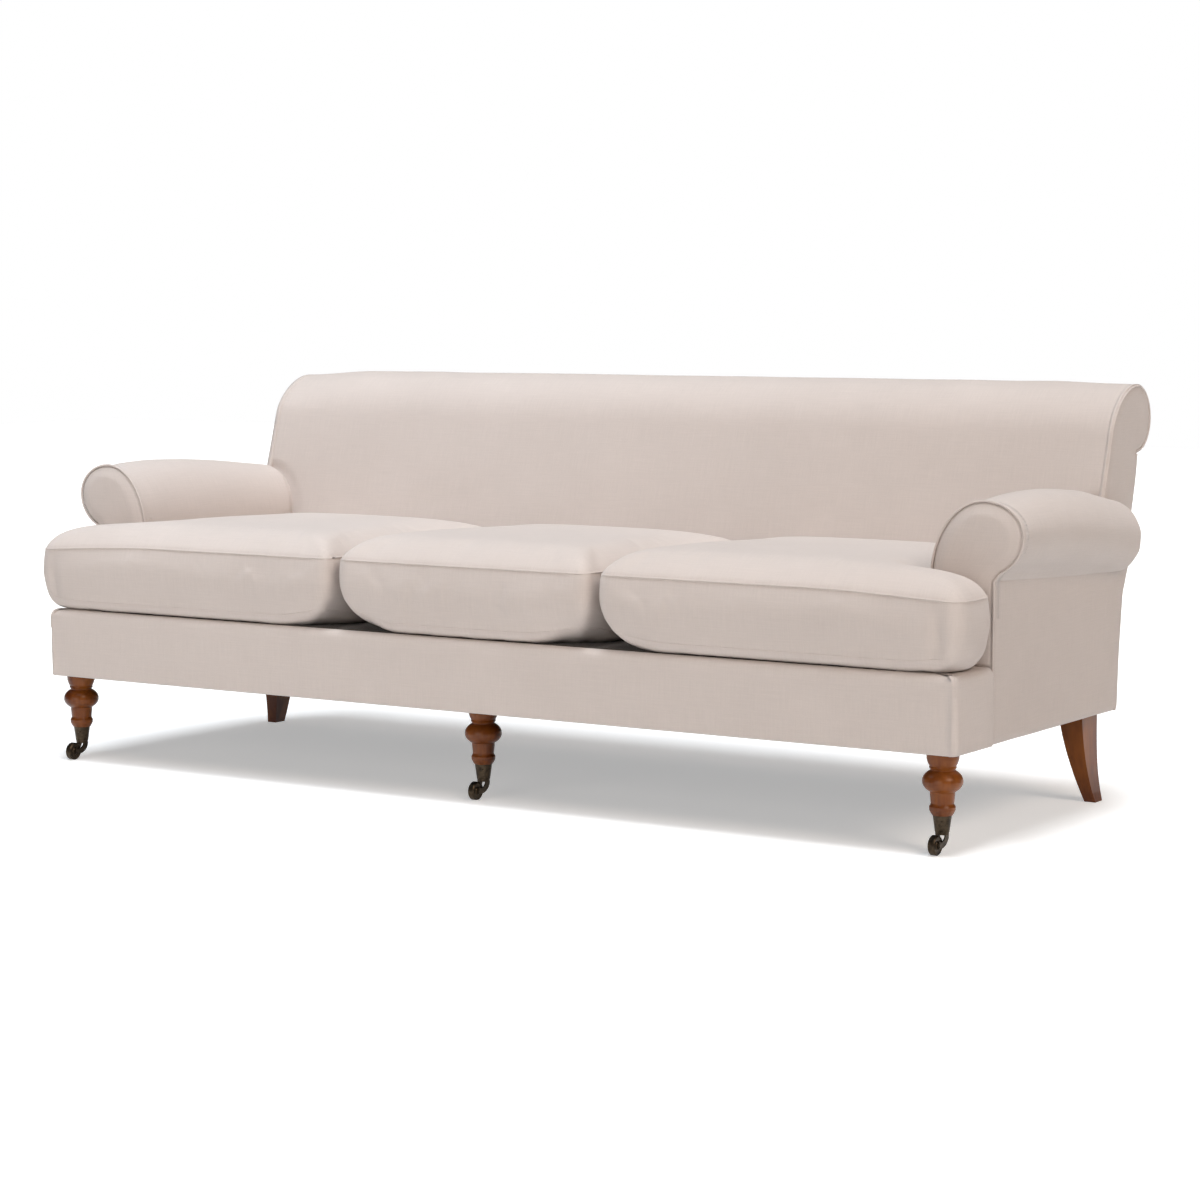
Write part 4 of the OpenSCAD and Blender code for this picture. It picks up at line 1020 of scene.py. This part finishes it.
CLOTH_SETTINGS = {"quality": 6, "mass": 0.35, "use_pressure": True, "uniform_pressure_force": 4.0}
CLOTH_SETTINGS.update(shrink_min=-0.012, tension_stiffness=25, compression_stiffness=25, bending_stiffness=1.2)
CLOTH_FRAMES, WRINKLE_CAP, VOXEL = 20, 0.006, 0.008
UPPER_PIPING_R, LOWER_PIPING_R = 0.0019, 0.0012


def inflate(piece, cap):
    """Blows the cover up as cloth that is a little too large for its filling, so that it eases and wrinkles."""
    before = coordinates(piece.data)
    cloth = piece.modifiers.new("cloth", "CLOTH")
    set_all(cloth.settings, CLOTH_SETTINGS)
    cloth.settings.effector_weights.gravity = 0
    cloth.point_cache.frame_start = 1
    cloth.point_cache.frame_end = CLOTH_FRAMES + 2
    for number in range(1, CLOTH_FRAMES + 1):
        bpy.context.scene.frame_set(number)
    apply_modifiers(piece)
    bpy.context.scene.frame_set(1)
    move = coordinates(piece.data) - before
    length = np.linalg.norm(move, axis=1)
    keep = cap * np.tanh(length / cap) / np.maximum(length, 1e-9)
    set_coordinates(piece.data, before + move * keep[:, None])


def soft_limit(values, limit, over, room=0.002):
    """Values held past a limit, easing in over a little room. over is 1 where the limit is a greatest value."""
    gap = (limit - values) * over
    eased = np.where(gap < room, room * np.exp(np.minimum(gap - room, 0) / room), gap)
    return limit - over * eased


def fit_cushion(piece, name):
    low, high = cushion_boxes[name]
    inner, outer = CUSHION_SHIFTS[name]
    low_shift, high_shift = (-outer, -inner) if name == "left" else (inner, outer)
    points = coordinates(piece.data)
    points[:, 0] = soft_limit(points[:, 0], high.x + high_shift + 0.0013, 1)
    points[:, 0] = soft_limit(points[:, 0], low.x + low_shift - 0.0013, -1)
    points[:, 1] = soft_limit(points[:, 1], low.y - 0.003, -1)
    points[:, 2] = np.maximum(points[:, 2], DECK_Z + 0.0003)
    set_coordinates(piece.data, points)


def on_surface(piece, line, lift, evening=6):
    """The line laid on a piece's surface, evened out if it is closed, with the surface's normals."""
    tree = BVHTree.FromObject(piece, bpy.context.evaluated_depsgraph_get())
    found = [tree.find_nearest(Vector(p)) for p in line]
    spots, ways = (np.array([hit[k] for hit in found]) for k in (0, 1))
    for _ in range(evening):
        spots, ways = ((np.roll(v, 1, 0) + 2 * v + np.roll(v, -1, 0)) / 4 for v in (spots, ways))
    ways /= np.linalg.norm(ways, axis=1)[:, None]
    return spots + ways * lift, ways


def make_cushion(name):
    points, faces, seam = cushion_form(name)
    piece = mesh_piece(f"seat_cushion_cover_{name}", points, faces)
    modified(piece, "REMESH", mode="VOXEL", voxel_size=VOXEL)
    modified(piece, "SMOOTH", factor=0.5, iterations=4)
    inflate(piece, WRINKLE_CAP)
    fit_cushion(piece, name)
    modified(piece, "SUBSURF", levels=1, render_levels=1)
    piece.data.shade_smooth()
    dress(piece, f"seat_cushion_{name}", stuffed, "cushion_fabric", f"seat_cushion_{name}")
    low = cushion_ring(*cushion_plan(name), SIDE_RINGS[2])
    low = (mirrored(low) if name == "left" else low) + SEAT
    seam = seam + np.array((0.0, 0.0, 0.0010))
    for level, line, radius, lift in (("upper", seam, UPPER_PIPING_R, 0.0005), ("lower", low, LOWER_PIPING_R, -0.0002)):
        line, ways = on_surface(piece, line, lift)
        piping = tube(f"cushion_piping_{level}_{name}", line, radius, closed=True, outward=ways)
        dress(piping, f"seat_cushion_{name}", stuffed, "cushion_fabric")


# Finish of the pieces that come from the frame


def finish_frame():
    finishes = dict(leg_wood=leg_wood, frame_wood=raw_wood, webbing=jute, caster_bronze=bronze, spring_steel=steel)
    slots = {entry["node"]: entry["material_slot"] for entry in frame["record"]["subparts"]}
    for name, piece in frame["nodes"].items():
        if slots.get(name) in finishes:
            paint(piece, finishes[slots[name]])


# Floor and light

FLOOR_GLOW = 0.39
FILL, FILL_COLOUR = 0.07, (1.0, 0.98, 0.96)
# Name, azimuth, elevation and spread in degrees, strength, colour
SUNS = (
    ("overhead", 0, 90, 20, 0.80, (0.91, 0.96, 1.0)),
    ("front", 0, 12, 40, 0.30, (1.0, 0.92, 0.85)),
    ("right", 70, 40, 30, 0.385, (1.0, 0.86, 0.755)),
)
WINDOW, WINDOW_COLOUR = 7.0, (0.65, 0.83, 1.0)
WINDOW_SPOT, WINDOW_AIM = Vector((-0.9, -0.9, 2.0)), Vector((-0.5, 0.3, 0.6))


def make_floor():
    """A white floor. To the camera it also glows, so that it meets the white behind it and its shadow stays pale."""
    size = 14.0
    points = [(-size, -size, 0), (size, -size, 0), (size, size, 0), (-size, size, 0)]
    floor = mesh_piece("floor", points, [[0, 1, 2, 3]])
    material, shader = new_material("pale_floor")
    put(material, shader, {"Base Color": (0.86, 0.86, 0.86, 1), "Roughness": 0.9, "Specular IOR Level": 0.0})
    rays = node(material, "ShaderNodeLightPath")
    seen = maths(material, "ADD", rays.outputs["Is Camera Ray"], rays.outputs["Is Glossy Ray"])
    strength = maths(material, "MULTIPLY", seen, FLOOR_GLOW)
    glow = node(material, "ShaderNodeEmission", {"Color": (1, 1, 1, 1), "Strength": strength})
    both = node(material, "ShaderNodeAddShader", {0: shader.outputs[0], 1: glow.outputs[0]})
    out = next(n for n in material.node_tree.nodes if n.type == "OUTPUT_MATERIAL")
    material.node_tree.links.new(both.outputs[0], out.inputs["Surface"])
    floor.data.materials.append(material)


def lamp(name, kind, spot, ahead, energy, colour, **settings):
    data = bpy.data.lights.new(name, kind)
    set_all(data, {"energy": energy, "color": colour, **settings})
    placed(name, data, spot, ahead)


def sun(name, azimuth, elevation, spread, strength, colour):
    """A far lamp. azimuth is in degrees from the front towards the sofa's right-hand end."""
    ahead = looking(math.radians(azimuth), math.radians(elevation))
    lamp(name, "SUN", (0.0, 0.0, 0.0), ahead, math.pi * strength, colour, angle=math.radians(spread))


def make_light():
    world = bpy.data.worlds.new("studio")
    world.use_nodes = True
    world.node_tree.nodes.clear()
    ground = node(world, "ShaderNodeBackground", {"Color": (*FILL_COLOUR, 1), "Strength": FILL})
    backdrop = node(world, "ShaderNodeBackground", {"Color": (1, 1, 1, 1), "Strength": 1.0})
    seen = node(world, "ShaderNodeLightPath").outputs["Is Camera Ray"]
    mix = node(world, "ShaderNodeMixShader", {0: seen, 1: ground.outputs[0], 2: backdrop.outputs[0]})
    node(world, "ShaderNodeOutputWorld", {"Surface": mix.outputs[0]})
    bpy.context.scene.world = world
    for values in SUNS:
        sun(*values)
    lamp("window", "AREA", WINDOW_SPOT, WINDOW_AIM - WINDOW_SPOT, WINDOW, WINDOW_COLOUR, shape="DISK", size=1.0)


make_camera()
finish_frame()
make_inside_back()
make_back_scrolls()
make_outside_back()
for arm_side, arm_name in SIDES:
    make_arm(arm_side, arm_name)
    make_facing(arm_side, arm_name)
    make_arm_outside(arm_side, arm_name)
make_border()
make_deck()
make_dust_cover()
for cushion_name in ("left", "centre", "right"):
    make_cushion(cushion_name)
make_floor()
make_light()

scene = bpy.context.scene
scene.view_settings.view_transform = "Standard"
